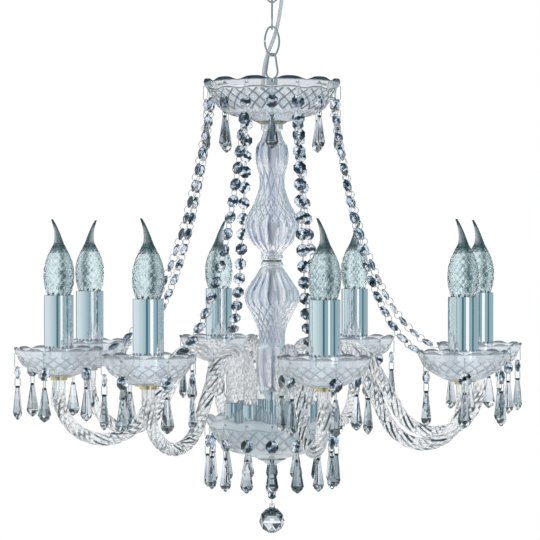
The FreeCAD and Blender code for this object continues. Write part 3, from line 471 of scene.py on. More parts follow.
def turning(name, outline, cut, around=360, fine=12):
    """A bored glass turning whose outline is (radius, depth below its top)."""
    top = height_of(name, True)
    outer = smooth_line(outline, fine)
    rows = [(radius, top - depth, 1) for radius, depth in outer]
    rows += [(GLASS_BORE, rows[-1][1], 0), (GLASS_BORE, rows[0][1], 0)]
    points, depths = lathe(rows, around, lambda angle, height, reach: cut(angle, top - height))
    mesh = mesh_from("cut_" + name, points, loop_faces(len(rows), around, closed=True))
    rings = depths.reshape(-1, around)
    reach = np.array(rows)[:, :1]
    # painted shade: each cut is darker on the side whose slope faces one way and paler on the other, as if lit from
    # one side
    slope = (np.roll(rings, -1, 1) - np.roll(rings, 1, 1)) / (2 * reach * TAU / around)
    turned = np.arange(around) * TAU / around
    height = np.array(rows)[:, 1:2]
    # fine painted streaks of shade in the flutes
    streaks = 0.3 * np.abs(np.sin(27 * turned + 1.5 * np.sin(height / 9.0))) ** 8
    set_tone(mesh, COLUMN_TONE * np.clip(1.3 * slope + streaks, 0, 1), "POINT")
    piece("cut_" + name, mesh, COLUMN_GLASS, "frame", [name])


def upper_cut(angle, depth):
    flutes = petals(angle, depth, 13, 50, 12, PETAL_DEPTH)
    waist = net(angle, depth, 12, 26, 1.2) * window(depth, 46, 88, 5)
    scales = net(angle, depth, 22, 12, 1.3) * window(depth, 84, 114, 4)
    leaves = petals(angle, depth, 100, 148, 18, PETAL_DEPTH)
    return flutes + waist + scales + leaves


def lower_cut(angle, depth):
    leaves = petals(angle, depth, 2, 48, 18, PETAL_DEPTH)
    scales = net(angle, depth, 18, 14, 1.4) * window(depth, 38, 90, 5)
    return leaves + scales + stripes(angle, 10, 1.8) * window(depth, 90, 140, 4)


def add_collar():
    """Two rounded glass rings, each with a row of small round cuts."""
    top = height_of("column_collar", True)
    foot = height_of("column_collar", False)
    around = 192
    points, faces = [], []
    for ring_top in (top, foot + COLLAR_HEIGHT):
        middle = ring_top - COLLAR_HEIGHT / 2
        bend = smooth_line(((COLLAR_NECK, ring_top), (COLLAR_RADIUS - 0.4, ring_top - 1.6),
                            (COLLAR_RADIUS, middle), (COLLAR_RADIUS - 0.4, middle - 1.7),
                            (COLLAR_NECK, ring_top - COLLAR_HEIGHT)), 8)
        rows = [(radius, z, 1) for radius, z in bend]
        rows += [(GLASS_BORE, ring_top - COLLAR_HEIGHT, 0), (GLASS_BORE, ring_top, 0)]

        def dimples(angle, height, reach):
            across = np.cos(9 * angle / 2)
            return 0.9 * np.maximum(0, across ** 8 - ((height - middle) / 2.4) ** 2)

        base = sum(len(p) for p in points)
        points.append(lathe(rows, around, dimples)[0])
        faces += [[base + c for c in face] for face in loop_faces(len(rows), around, closed=True)]
    mesh = mesh_from("cut_column_collar", np.vstack(points), faces)
    piece("cut_column_collar", mesh, CUT_GLASS, "frame", ["column_collar"])


def add_column():
    turning("column_upper", UPPER_OUTLINE, upper_cut)
    turning("column_lower", LOWER_OUTLINE, lower_cut)
    add_collar()


# ---------------------------------------------------------------- dishes
def dish_rows(radius, depth, wall, floor, bowl, hole):
    """Rows of a dish: its hole, outside, rim, inside and floor, and the height where the wall is straight."""
    outer = smooth_line([(share * radius, rise * depth) for share, rise in bowl], 10)
    corner = outer[-1]
    straight = corner + (np.array((radius, depth)) - corner) * np.linspace(0, 1, 22)[1:, None]
    outer = np.vstack([outer, straight])
    ahead = np.gradient(outer, axis=0)
    ahead /= np.linalg.norm(ahead, axis=1)[:, None]
    inner = outer + wall * np.stack([-ahead[:, 1], ahead[:, 0]], 1)
    inner[:, 1] = np.maximum(inner[:, 1], floor)
    inner[-1, 1] = depth
    rows = [(hole, 0, 0)] + [(r, z, 1) for r, z in outer] + [(r, z, 0) for r, z in inner[::-1]]
    return rows + [(hole, floor, 0)], corner[1]


def scalloped(points, foot, start, depth, count, valley):
    """Lowers the wall above start into even scallops, with a valley at azimuth 0."""
    angle = np.arctan2(points[:, 0], -points[:, 1])
    drop = valley * (0.5 + 0.5 * np.cos(count * angle)) ** 1.6
    height = points[:, 2] - foot
    above = height > start
    points[above, 2] -= ((height - start) / (depth - start) * drop)[above]
    return points


def drilled(mesh, spots, reach, height):
    """Cuts a round hole through a dish's wall at each azimuth."""
    tool = bpy.data.meshes.new("drills")
    work = bmesh.new()
    for azimuth in spots:
        heading = outward(azimuth)
        turn = heading.to_track_quat("Z", "Y").to_matrix().to_4x4()
        place = Matrix.Translation((heading * reach + Vector((0, 0, height))) * MM) @ turn
        bmesh.ops.create_cone(work, cap_ends=True, segments=16, radius1=PIN_HOLE_RADIUS * MM,
                              radius2=PIN_HOLE_RADIUS * MM, depth=14 * MM, matrix=place)
    work.to_mesh(tool)
    work.free()
    blank = bpy.data.objects.new("blank", mesh)
    drills = bpy.data.objects.new("drills", tool)
    for helper in (blank, drills):
        bpy.context.scene.collection.objects.link(helper)
    cut = blank.modifiers.new("holes", "BOOLEAN")
    cut.operation = "DIFFERENCE"
    cut.solver = "EXACT"
    cut.object = drills
    graph = bpy.context.evaluated_depsgraph_get()
    result = bpy.data.meshes.new_from_object(blank.evaluated_get(graph), depsgraph=graph)
    for helper in (blank, drills):
        bpy.data.objects.remove(helper)
    return result


def dish_mesh(name, foot, radius, sizes, cut, around, lip, band, line_tone, first_pin=0.0):
    """A drilled and scalloped dish; sizes are depth, wall, floor, bowl, hole, scallops, valley, pins, drop.

    The lip's tones are for the outside and the inside and paint dark crescents of reflection on the rim, band is the
    painted shade of the plain band below it, and line_tone is the painted shade in the cut grooves."""
    depth, wall, floor, bowl, hole, scallops, valley, pins, drop = sizes
    rows, start = dish_rows(radius, depth, wall, floor, bowl, hole)
    rows = [(r, z + foot, share) for r, z, share in rows]
    points, depths = lathe(rows, around, lambda angle, height, reach: cut(angle, height - foot, reach))
    points = scalloped(points, foot, start, depth, scallops, valley)
    mesh = mesh_from(name, points, loop_faces(len(rows), around, closed=True))
    # painted shade and reflections: the deepest cuts darker, a darker band under the rim outside, soft dark patches
    # round the outside, and dark crescents on the lip
    lines = line_tone * np.clip(2.2 * depths / depths.max() - 0.6, 0, 1)
    lip_tone = window(points[:, 2], foot + depth - valley - 0.4, foot + depth + 9, 0.8)
    outside = np.arange(len(points)) < around * len(rows) // 2
    band_tone = band * outside * (points[:, 2] > foot + 0.78 * depth)
    azimuth = np.arctan2(points[:, 0], -points[:, 1])
    shade_patches = 0.12 * outside * np.clip(2 * np.cos(3 * azimuth + 1.0 + 0.05 * points[:, 2]) - 0.8, 0, 1)
    set_tone(mesh, np.maximum.reduce([lines, band_tone, shade_patches, lip_tone * np.where(outside, *lip)]), "POINT")
    wall_radius = radius - drop / depth * radius * (1 - bowl[-1][0]) / (1 - bowl[-1][1]) - wall / 2
    return drilled(mesh, [first_pin + 360.0 * i / pins for i in range(pins)], wall_radius, foot + depth - drop)


def dish_cut(angle, height, reach):
    band = net(angle, height, 30, 12.5, 1.7) * window(height, 12, 36.5, 1.0)
    edge = 1.4 * window(height, 36.2, 38.2, 0.7)
    under = net(angle, height, 48, 5, 1.0) * window(height, 1, 12, 2) * window(reach, 19, 90, 3)
    return band + edge + under


def bobeche_cut(angle, height, reach):
    band = net(angle, height, 20, 10, 1.3) * window(height, 7, 24, 1.5)
    under = net(angle, height, 28, 4, 0.8) * window(height, 0.6, 8, 1.5) * window(reach, 18.5, 60, 3)
    return band + under


def add_dishes():
    sizes = (DISH_DEPTH, DISH_WALL, DISH_WALL, DISH_BOWL, GLASS_BORE, DISH_SCALLOPS, DISH_SCALLOP_DEPTH,
             DISH_PINS, DISH_PIN_DROP)
    # each dish's painted marks: lip crescents outside and inside, the band's painted shade and the grooves' painted
    # shade; the bottom dish's are fainter
    for name, lip, band, line_tone in (("top_dish", (1.0, 1.0), 0.30, 1.0), ("bottom_dish", (0.1, 0.4), 0.0, 0.5)):
        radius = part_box(name)[1].x / MM
        foot = height_of(name, False)
        mesh = dish_mesh("cut_" + name, foot, radius, sizes, dish_cut, 480, lip, band, line_tone)
        # the bottom dish takes the brightened copy of the cut glass, painted light
        look = CUT_GLASS if name == "top_dish" else BRIGHTENED_CUT_GLASS
        piece("cut_" + name, mesh, look, "frame", [name])


def add_bobeches():
    sizes = (BOBECHE_DEPTH, BOBECHE_WALL, BOBECHE_FLOOR, BOBECHE_BOWL, BOBECHE_HOLE, BOBECHE_SCALLOPS,
             BOBECHE_SCALLOP_DEPTH, BOBECHE_PINS, BOBECHE_PIN_DROP)
    foot = height_of("bobeche_1", False)
    # painted dark crescents mostly on the lip's inside, and painted shade in the grooves
    master = dish_mesh("bobeche", foot, BOBECHE_RADIUS, sizes, bobeche_cut, 300, (0.05, 0.9), 0.0, 0.5, 90.0)
    for index in range(ARM_COUNT):
        name = "bobeche_%d" % (index + 1)
        mesh = master.copy()
        turn = Matrix.Rotation(math.radians(arm_azimuth(index) - 90.0), 4, "Z")
        mesh.transform(Matrix.Translation(candle_place(index) * MM) @ turn)
        piece("cut_" + name, mesh, CUT_GLASS, "frame", [name])


# ---------------------------------------------------------------- crystals on wire
WIRE_VOLUME = 60.0          # less than any bead, in cubic millimetres
BEAD_DIAGONAL = 26.0        # longer than a bead, shorter than a pendant
PENDANT_HOLE_DROP = 1.9
chance = random.Random(11)


def solids_of(node):
    """The separate solids of a node as (points in millimetres, faces, volume)."""
    work = bmesh.new()
    work.from_mesh(nodes[node].data)
    bmesh.ops.remove_doubles(work, verts=work.verts, dist=2e-6)
    work.verts.index_update()
    unseen = set(work.verts)
    found = []
    while unseen:
        first = unseen.pop()
        members, stack = [first], [first]
        while stack:
            for edge in stack.pop().link_edges:
                for vert in edge.verts:
                    if vert in unseen:
                        unseen.discard(vert)
                        members.append(vert)
                        stack.append(vert)
        place = {vert: i for i, vert in enumerate(members)}
        points = np.array([vert.co[:] for vert in members]) / MM
        faces = [[place[vert] for vert in face.verts] for face in {f for v in members for f in v.link_faces}]
        faces.sort()
        corners = points[np.array([face[:3] for face in faces])]
        volume = abs(np.einsum("ij,ij->i", corners[:, 0], np.cross(corners[:, 1], corners[:, 2])).sum()) / 6
        found.append((points, faces, volume))
    work.free()
    found.sort(key=lambda solid: tuple(solid[0].mean(0).round(3)))
    return found


def main_axes(offsets):
    """Axes of a cloud of offsets, the thinnest first."""
    return np.linalg.eigh(offsets.T @ offsets)[1].T


def bead_axes(points):
    """Middle, thin axis, axis through both holes, and radius of an octagon bead."""
    middle = (points.min(0) + points.max(0)) / 2
    offsets = points - middle
    far = np.linalg.norm(offsets, axis=1)
    rim = offsets[far > 0.97 * far.max()]
    middle = middle + rim.mean(0)
    thin = main_axes(rim - rim.mean(0))[0]
    flat = points - middle
    flat = flat - np.outer(flat @ thin, thin)
    reach = np.linalg.norm(flat, axis=1)
    holes = flat[(reach > 0.53 * reach.max()) & (reach < 0.86 * reach.max())]
    return middle, thin, main_axes(holes)[2], reach.max()


def octagon():
    """A cut octagon bead of radius 1: points with X as its thin axis, faces and facet kinds."""
    levels = ((0.24, 0.42, 0.5), (0.60, 0.30, 0.0), (1.0, 0.07, 0.5), (1.0, -0.07, 0.5),
              (0.60, -0.30, 0.0), (0.24, -0.42, 0.5))
    points = []
    for reach, level, turn in levels:
        for i in range(8):
            angle = TAU * (i + turn) / 8
            points.append((level, reach * math.cos(angle), reach * math.sin(angle)))
    faces, kinds = [list(range(8)), list(range(40, 48))[::-1]], [("table", 0), ("table", 0)]

    def between(upper, lower, lead, kind):
        for i in range(8):
            ahead = (i + 1) % 8
            # lead says which ring's corners stand half a step further on
            if lead:
                faces.append([upper + i, lower + ahead, upper + ahead])
                faces.append([upper + i, lower + i, lower + ahead])
            else:
                faces.append([upper + i, lower + i, upper + ahead])
                faces.append([upper + ahead, lower + i, lower + ahead])
            kinds.extend([(kind, i), (kind, i)])

    between(0, 8, True, "star")
    between(8, 16, False, "main")
    for i in range(8):
        ahead = (i + 1) % 8
        faces.append([16 + i, 24 + i, 24 + ahead, 16 + ahead])
        kinds.append(("edge", i))
    between(24, 32, True, "main")
    between(32, 40, False, "star")
    return np.array(points), faces, kinds


def octagon_tones(kinds):
    """Painted reflections: a pale bead with a dark middle, or a dark bead with pale sectors, as if the room's pale and
    dark parts were reflected in it.
    """
    first = chance.randrange(8)
    if chance.random() < 0.5:
        dark, table = {first, (first + 4) % 8}, DARK
    else:
        dark, table = {(first + step) % 8 for step in (0, 1, 3, 4, 5)}, chance.choice((DARK, BLUE, PALE))
    rim = chance.choice((PALE, 0.1, BLUE))
    tones = []
    for kind, sector in kinds:
        if kind == "table":
            tones.append(table)
        elif kind == "edge":
            tones.append(rim)
        elif sector in dark:
            tones.append(chance.choice((DARK, DARK, DARK, 0.35)))
        else:
            tones.append(chance.choice((PALE, PALE, PALE, 0.08, 0.2)))
    return tones


def long_drop():
    """A cut pendant: points with its hole at the origin and X as its thin axis, faces and facet kinds."""
    levels = ((1.9, 2.0, 2.2, 0.5), (-0.4, 2.5, 2.5, 0.5), (-13.0, 4.9, 3.65, 0.5), (-21.0, 6.4, 4.35, 0.5),
              (-28.5, 7.8, 5.0, 0.5), (-32.4, 6.0, 3.9, 0.0), (-36.1, 1.0, 0.7, 0.5))
    points = []
    for z, wide, deep, turn in levels:
        for i in range(8):
            angle = TAU * (i + turn) / 8
            points.append((deep * math.cos(angle), wide * math.sin(angle), z))
    faces, kinds = [list(range(8)), list(range(48, 56))[::-1]], [("neck", 0), ("tip", 0)]
    for i in range(8):
        ahead = (i + 1) % 8
        for upper, kind in ((0, "neck"), (8, "upper"), (16, "middle"), (24, "lower")):
            faces.append([upper + i, upper + 8 + i, upper + 8 + ahead, upper + ahead])
            kinds.append((kind, i))
        faces.append([32 + i, 40 + ahead, 32 + ahead])
        faces.append([32 + i, 40 + i, 40 + ahead])
        faces.append([40 + i, 48 + i, 40 + ahead])
        faces.append([40 + ahead, 48 + i, 48 + ahead])
        kinds.extend([("belt", i), ("belt", i), ("tip", i), ("tip", i)])
    return np.array(points), faces, kinds


def drop_tones(kinds):
    """Painted reflections and shade: sides that darken downwards, a dark neck, and a tip of pale facets and painted
    coloured glints.
    """
    shade = chance.choice((0.0, 0.03, 0.08, 0.2))
    side = [shade + chance.choice((0.0, 0.0, 0.08, 0.25)) for _ in range(8)]
    darker = [chance.choice((0.0, 0.04, 0.1, 0.2)) for _ in range(8)]
    tones = []
    for kind, sector in kinds:
        if kind == "neck":
            tones.append(DARK)
        elif kind == "upper":
            tones.append(side[sector])
        elif kind in ("middle", "lower"):
            tones.append(min(DARK, side[sector] + darker[sector] * (1.0 if kind == "lower" else 0.5)))
        elif kind == "belt":
            tones.append(chance.choice((PALE, PALE, DARK, DARK)))
        else:
            tones.append(chance.choice((PALE, PALE, PALE, PALE, BLUE, ROSE, CYAN)))
    return tones


class Crystals:
    """Many cut crystals in one mesh, each facet with its own tone."""

    def __init__(self):
        self.points, self.faces, self.tones = [], [], []

    def add(self, shape, tones, origin, axes, size):
        points, faces, kinds = shape
        base = sum(len(p) for p in self.points)
        self.points.append(np.asarray(origin) + points @ np.asarray(axes) * size)
        self.faces += [[base + c for c in face] for face in faces]
        self.tones += tones(kinds)

    def build(self, name, look, body, stands_for):
        mesh = mesh_from(name, np.vstack(self.points), self.faces)
        set_tone(mesh, self.tones)
        return piece(name, mesh, look, body, stands_for, smooth=False)


OCTAGON = octagon()
LONG_DROP = long_drop()


def right_handed(thin, wide, up):
    """Rows of axes whose turn is a proper rotation."""
    if np.dot(np.cross(thin, wide), up) < 0:
        wide = -wide
    return np.array([thin, wide, up])


def dress_strings(node, body):
    """Stands cut crystals in for a node's beads and pendants, and keeps its wires."""
    beads, pendants, wires = Crystals(), Crystals(), []
    wire_faces = []
    for points, faces, volume in solids_of(node):
        if volume < WIRE_VOLUME:
            base = sum(len(w) for w in wires)
            wires.append(points)
            wire_faces += [[base + c for c in face] for face in faces]
        elif np.linalg.norm(np.ptp(points, axis=0)) < BEAD_DIAGONAL:
            middle, thin, up, size = bead_axes(points)
            beads.add(OCTAGON, octagon_tones, middle, right_handed(thin, np.cross(up, thin), up), size)
        elif node == "ball_drop":
            continue
        else:
            middle = (points.min(0) + points.max(0)) / 2
            level = (points - middle) * (1, 1, 0)
            reach = np.linalg.norm(level, axis=1)
            corners = level[reach > 0.98 * reach.max()]
            middle = middle + corners.mean(0)
            wide = main_axes(corners - corners.mean(0))[2]
            up = np.array((0, 0, 1.0))
            origin = (middle[0], middle[1], points[:, 2].max() - PENDANT_HOLE_DROP)
            pendants.add(LONG_DROP, drop_tones, origin, right_handed(np.cross(wide, up), wide, up), 1.0)
    mesh = mesh_from("wires_" + node, np.vstack(wires), wire_faces)
    piece("wires_" + node, mesh, WIRE, body, [node])
    beads.build("beads_" + node, BEAD_GLASS, body, [node])
    if pendants.points:
        pendants.build("pendants_" + node, PENDANT_GLASS, body, [node])


def add_ball():
    """The faceted ball with its neck, below its bead and rings."""
    dress_strings("ball_drop", "ball")
    foot = height_of("ball_drop", False)
    radius = 15.0
    levels = (-74, -40, -6, 28, 62)
    points, faces = [], []
    around = 8
    middle = foot + 0.98 * radius
    for k, latitude in enumerate(levels):
        for i in range(around):
            angle = TAU * (i + 0.5 * (k % 2)) / around
            flat = radius * math.cos(math.radians(latitude))
            points.append((flat * math.sin(angle), -flat * math.cos(angle),
                           middle + radius * 0.98 * math.sin(math.radians(latitude))))
    for sides, z in (((3.4, 2.4), middle + radius), ((2.6, 1.6), middle + radius + 4.8)):
        for i in range(around):
            angle = TAU * i / around
            points.append((sides[0] * math.sin(angle), -sides[1] * math.cos(angle), z))
    rings = len(levels) + 2
    # painted reflections and shade by band, from the foot up: mixed, mixed, shaded, dark, pale and the neck
    bands = ((PALE, PALE, 0.15, DARK), (PALE, 0.15, DARK), (PALE, 0.3, 0.42), (DARK, DARK, 0.4), (PALE, BLUE), (PALE,))
    tones = []
    for k in range(rings - 1):
        for i in range(around):
            ahead = (i + 1) % around
            low, high = k * around, (k + 1) * around
            if k >= len(levels) - 1:
                faces.append([low + i, low + ahead, high + ahead, high + i])
            elif k % 2 == 0:
                faces += [[low + i, low + ahead, high + i], [low + ahead, high + ahead, high + i]]
            else:
                faces += [[low + i, low + ahead, high + ahead], [low + i, high + ahead, high + i]]
        tones += [chance.choice(bands[k]) for _ in faces[len(tones):]]
    faces = capped(faces, rings, around)
    mesh = mesh_from("ball", points, faces)
    set_tone(mesh, tones + [PALE, PALE])
    piece("cut_ball", mesh, PENDANT_GLASS, "ball", ["ball_drop"], smooth=False)


def add_crystals():
    for node in ("garlands", "bobeche_drops", "bottom_drops"):
        dress_strings(node, "frame")
    for index in range(ARM_COUNT):
        name = "top_drop_%d" % (index + 1)
        dress_strings(name, name)
    add_ball()


# ---------------------------------------------------------------- bulbs
def bulb_shell(inset, dimple, top):
    """Points, tones, rows and ring size of a dimpled bulb with its tip bent towards +X, up to a height."""
    around = 96
    body = [(0.0, z, r) for r, z in smooth_line(BULB_OUTLINE, 12)]
    tip = [tuple(row) for row in smooth_line(BULB_TIP, 8)[1:]]
    rows = np.array([row for row in body + tip if row[1] <= top])
    x, z, radius = (column[:, None] for column in rows.T)
    angle = np.arange(around)[None, :] * TAU / around
    wander = 0.5 * np.sin(3 * angle + z / 9.0)
    first = np.cos(7 * angle + z / 2.8 + wander)
    second = np.cos(7 * angle - z / 2.6 + 1.3 * wander)
    depth = dimple * window(z, -14, 62, 8) * np.abs(first * second) ** 0.6
    reach = np.maximum(radius - inset - depth * np.minimum(1, radius / 9), 0.4)
    reach = reach * np.sqrt(np.clip((top - z) / 10, 0.001, 1))
    points = np.stack([x + reach * np.cos(angle), reach * np.sin(angle), z + 0 * angle], -1)
    # painted reflections: each dimple between the crossing ridges is painted pale or dark as if it caught another part
    # of the room
    ridges = np.stack([7 * angle + z / 2.8 + wander, 7 * angle - z / 2.6 + 1.3 * wander])
    cells = np.floor(ridges / math.pi + 0.5).astype(int) % 14
    light = np.random.default_rng(5).choice((0.0, 0.0, 0.0, 0.1, 0.35), (14, 14))[cells[0], cells[1]]
    # painted shade down the side turned away from the tip, and on the far side
    from_tip = np.abs(np.mod(angle + math.pi, TAU) - math.pi)
    shadow = np.exp(-((from_tip - 1.95) / 0.28) ** 2) + 0.7 * np.exp(-((from_tip - math.pi) / 0.5) ** 2)
    cell = np.abs(first * second)
    tone = (light * np.clip(4 * cell - 0.3, 0, 1) + shadow * np.clip(4 * cell, 0.4, 1)) * window(z, -6, 80, 14)
    # a painted highlight: a clear strip along the tip on the side it bends towards
    strip = 0.95 * np.exp(-(from_tip / 1.2) ** 2) * window(z, 55, 80, 5)
    # the neck and tip are darker from 46 mm up, save for that strip
    tone = np.maximum(tone, np.clip((z - 46) / 8, 0, 1) * (1 - strip))
    return points.reshape(-1, 3), tone.ravel(), len(rows), around


def bulb_form():
    """Points, faces and tones of the bulb's outside and of the hollow inside it."""
    outer, tones, rows, around = bulb_shell(0.0, 1.2, 95.0)
    inner, _, inner_rows, _ = bulb_shell(BULB_WALL, 0.0, 56.0)
    faces = capped(loop_faces(rows, around, closed=False), rows, around)
    hollow = capped(loop_faces(inner_rows, around, closed=False), inner_rows, around)
    inner[:, 2] += BULB_WALL
    faces += [[len(outer) + c for c in face[::-1]] for face in hollow]
    return np.vstack([outer, inner]), faces, np.append(tones, np.zeros(len(inner)))


def cap_form(top):
    """Points and faces of a screw cap: rolled thread, skirt and contact."""
    foot = top - CAP_LENGTH
    rows = [(CAP_RADIUS - 0.5, top), (CAP_RADIUS, top - 0.6), (CAP_RADIUS, top - 4.0)]
    for z in np.arange(top - 4.5, foot + 3.6, -0.5):
        rows.append((CAP_RADIUS - 0.45 + 0.45 * math.cos(TAU * (top - z) / 3.5), z))
    rows += [(CAP_RADIUS - 1.2, foot + 3.0), (3.4, foot + 0.9), (3.1, foot)]
    points, _ = lathe([(r, z, 0) for r, z in rows], 48)
    return points, capped(loop_faces(len(rows), 48, closed=False), len(rows), 48)


def stem_form():
    """Points and faces of the glass stem inside the bulb."""
    rows = ((5.0, -19.0), (4.2, -15.0), (2.6, -9.0), (1.9, 0.0), (1.7, 8.0), (2.3, 10.0), (1.2, 12.0))
    line = smooth_line(rows, 5)
    points, _ = lathe([(r, z, 0) for r, z in line], 24)
    return points, capped(loop_faces(len(line), 24, closed=False), len(line), 24)


def tube_form(line, radius, around):
    """Points and faces of a tube along a line of points."""
    line = np.array(line, float)
    ahead = np.gradient(line, axis=0)
    ahead /= np.linalg.norm(ahead, axis=1)[:, None]
    side = np.cross(ahead[0], (0.31, 0.2, 0.93))
    rings = []
    for centre, heading in zip(line, ahead):
        side = side - heading * np.dot(side, heading)
        side /= np.linalg.norm(side)
        over = np.cross(heading, side)
        angle = np.arange(around)[:, None] * TAU / around
        rings.append(centre + radius * (np.cos(angle) * side + np.sin(angle) * over))
    return np.vstack(rings), capped(loop_faces(len(line), around, closed=False), len(line), around)


def add_bulbs():
    top = height_of("candle_sleeves", True)
    *glass_form, tones = bulb_form()
    stem = stem_form()
    cap = cap_form(BULB_OUTLINE[0][1] - 0.1)
    filament = tube_form([(3.2 * math.sin(a), 0.9 * math.sin(3 * a), 11 + 13 * math.sin(a / 2) ** 2)
                          for a in np.linspace(0.2, TAU - 0.2, 60)], 0.14, 6)
    for index in range(ARM_COUNT):
        body = "bulb_%d" % (index + 1)
        turn = Matrix.Rotation(math.radians(BULB_TIP_AZIMUTHS[index] - 90.0), 4, "Z")
        place = Matrix.Translation((candle_place(index) + Vector((0, 0, top))) * MM) @ turn
        for kind, form, look, slot in (("glass", glass_form, BULB_GLASS, "bulb_glass"),
                                       ("stem", stem, FILAMENT_GLASS, "bulb_glass"),
                                       ("cap", cap, BRASS, "brass"), ("filament", filament, WIRE, "chrome")):
            mesh = mesh_from("%s_%s" % (kind, body), *form)
            mesh.transform(place)
            if kind == "glass":
                set_tone(mesh, tones, "POINT")
            piece("%s_%s" % (kind, body), mesh, look, body, [body])


# ---------------------------------------------------------------- supply cable
def cable_line():
    """Points along the cable's smooth route, in millimetres."""
    curve = bpy.data.curves.new("cable_route", "CURVE")
    curve.dimensions = "3D"
    curve.resolution_u = 24
    spline = curve.splines.new("NURBS")
    spline.points.add(len(CABLE_ROUTE) - 1)
    for point, place in zip(spline.points, CABLE_ROUTE):
        point.co = (*(Vector(place) * MM), 1)
    spline.order_u = 3
    spline.use_endpoint_u = True
    helper = bpy.data.objects.new("cable_route", curve)
    bpy.context.scene.collection.objects.link(helper)
    graph = bpy.context.evaluated_depsgraph_get()
    mesh = bpy.data.meshes.new_from_object(helper.evaluated_get(graph), depsgraph=graph)
    points = np.array([vert.co[:] for vert in mesh.vertices]) / MM
    bpy.data.objects.remove(helper)
    return points


def add_cable():
    """The cable in four stretches, split at the middle of each chain link."""
    line = cable_line()
    bodies = ["ceiling", "link_1", "link_2", "link_3", "frame"]
    middles = [sum(z / MM for z in (box[0].z, box[1].z)) / 2
               for box in (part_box("chain_link_%d" % (i + 1)) for i in range(3))]
    cuts = [0] + [int(np.argmin(np.abs(line[:, 2] - z))) for z in middles] + [len(line) - 1]
    for index, (a, b) in enumerate(zip(bodies, bodies[1:])):
        stretch = line[cuts[index]:cuts[index + 1] + 1]
        name = "cable_%d" % (index + 1)
        mesh = mesh_from(name, *tube_form(stretch, CABLE_RADIUS, 20))
        mesh.materials.append(SHEATH)
        mesh.polygons.foreach_set("use_smooth", [True] * len(mesh.polygons))
        made = bpy.data.objects.new(name, mesh)
        bpy.context.scene.collection.objects.link(made)
        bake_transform(made)
        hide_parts("power_cable")


# ---------------------------------------------------------------- frame nodes that are shown
def dress(names, look):
    for name in names:
        mesh = nodes[name].data
        mesh.materials.clear()
        mesh.materials.append(look)


def dress_frame():
    dress(["ceiling_plate", "ceiling_cup", "column_cap", "candle_sleeves"], CHROME)
    dress(["ceiling_hook", "cup_collar", "chain_link_1", "chain_link_2", "chain_link_3", "top_eye", "finial"],
          STEEL)
    dress(["arm_hub", "arm_ferrules"], SHADED_CHROME)
    dress(["center_rod"], SATIN)
    dress(["column_washers"], DARK_BRASS)
    dress(["arm_cups"], BRASS)
    dress(["terminal_block", "lamp_holders"], PLASTIC)


# ---------------------------------------------------------------- room
# what polished metal sees round the room, as (azimuth from the front, brightness)
METAL_BANDS = ((-180, 0.06), (-145, 0.06), (-137, 0.70), (-80, 0.64), (-38, 0.46), (-15, 0.34), (-12, 0.05), (-2, 0.05), (1, 0.26),
               (17, 0.28), (19, 1.0), (40, 1.0), (42, 0.29), (66, 0.31), (69, 0.07), (81, 0.07), (85, 0.29),
               (140, 0.31), (172, 0.36), (180, 0.06))
# what shows through glass, where the straight way through is at 180
GLASS_BANDS = ((-180, 1.0), (-140, 1.0), (-135, 0.05), (-124, 0.05), (-118, 1.0), (-80, 1.0), (-72, 0.08),
               (-60, 0.08), (-52, 1.0), (48, 1.0), (56, 0.08), (70, 0.08), (78, 1.0), (112, 1.0), (120, 0.05),
               (132, 0.05), (138, 1.0), (180, 1.0))


def band_ramp(tree, share, bands, tint):
    """A colour ramp round the room from bands of (azimuth, brightness)."""
    ramp = tree.nodes.new("ShaderNodeValToRGB")
    stops = ramp.color_ramp.elements
    while len(stops) < len(bands):
        stops.new(0.5)
    for stop, (azimuth, level) in zip(stops, bands):
        stop.position = (azimuth + 180) / 360
        stop.color = [level ** power for power in tint] + [1]
    tree.links.new(share, ramp.inputs["Fac"])
    back = tree.nodes.new("ShaderNodeBackground")
    tree.links.new(ramp.outputs["Color"], back.inputs["Color"])
    return back.outputs[0]


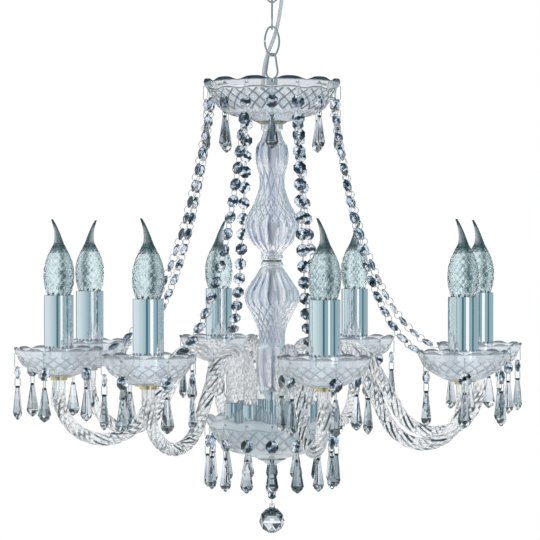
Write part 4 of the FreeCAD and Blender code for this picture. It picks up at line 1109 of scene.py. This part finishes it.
def make_room():
    """White to the camera, soft light on matt surfaces, and a room of pale and dark bands for gloss and glass."""
    world = bpy.data.worlds.new("studio")
    bpy.context.scene.world = world
    world.use_nodes = True
    tree = world.node_tree
    tree.nodes.clear()
    coords = tree.nodes.new("ShaderNodeTexCoord")
    parts = tree.nodes.new("ShaderNodeSeparateXYZ")
    tree.links.new(coords.outputs["Generated"], parts.inputs["Vector"])
    front = tree.nodes.new("ShaderNodeMath")
    front.operation = "MULTIPLY"
    front.inputs[1].default_value = -1.0
    tree.links.new(parts.outputs["Y"], front.inputs[0])
    angle = tree.nodes.new("ShaderNodeMath")
    angle.operation = "ARCTAN2"
    tree.links.new(parts.outputs["X"], angle.inputs[0])
    tree.links.new(front.outputs[0], angle.inputs[1])
    share = tree.nodes.new("ShaderNodeMapRange")
    share.inputs["From Min"].default_value = -math.pi
    share.inputs["From Max"].default_value = math.pi
    tree.links.new(angle.outputs[0], share.inputs["Value"])
    metal_room = band_ramp(tree, share.outputs["Result"], METAL_BANDS, (1.0, 0.70, 0.63))
    glass_room = band_ramp(tree, share.outputs["Result"], GLASS_BANDS, (1.0, 0.75, 0.65))
    soft = tree.nodes.new("ShaderNodeBackground")
    soft.inputs["Color"].default_value = (0.95, 0.97, 1.0, 1)
    soft.inputs["Strength"].default_value = 1.0
    white = tree.nodes.new("ShaderNodeBackground")
    white.inputs["Color"].default_value = (1, 1, 1, 1)
    path = tree.nodes.new("ShaderNodeLightPath")
    shown = soft.outputs[0]
    for ray, seen in (("Is Glossy Ray", metal_room), ("Is Transmission Ray", glass_room),
                      ("Is Camera Ray", white.outputs[0])):
        mix = tree.nodes.new("ShaderNodeMixShader")
        tree.links.new(path.outputs[ray], mix.inputs["Fac"])
        tree.links.new(shown, mix.inputs[1])
        tree.links.new(seen, mix.inputs[2])
        shown = mix.outputs[0]
    output = tree.nodes.new("ShaderNodeOutputWorld")
    tree.links.new(shown, output.inputs["Surface"])


def add_lamp(name, place, size, energy):
    data = bpy.data.lights.new(name, "AREA")
    data.shape = "RECTANGLE"
    data.size, data.size_y = size
    data.energy = energy
    made = bpy.data.objects.new(name, data)
    made.location = place
    made.rotation_euler = (Vector((0, 0, -0.4)) - Vector(place)).to_track_quat("-Z", "Y").to_euler()
    made.visible_glossy = False
    bpy.context.scene.collection.objects.link(made)


def make_floor():
    half, z = 9000.0, -2600.0
    mesh = mesh_from("floor", [(-half, -half, z), (half, -half, z), (half, half, z), (-half, half, z)],
                     [(0, 1, 2, 3)])
    look = add_mottle(material("floor_paint", Base_Color=(0.96, 0.96, 0.96, 1)), 3.0, 0.8, 0.95)
    mesh.materials.append(look)
    made = bpy.data.objects.new("floor", mesh)
    bpy.context.scene.collection.objects.link(made)


add_cable()
add_arms()
add_column()
add_dishes()
add_bobeches()
add_crystals()
add_bulbs()
dress_frame()
make_room()
add_lamp("key_lamp", (-1.6, -1.8, 0.5), (1.0, 1.4), 11)
add_lamp("fill_lamp", (1.9, -1.2, -0.1), (0.8, 1.2), 6)
make_floor()
bpy.context.scene.view_settings.view_transform = "Standard"
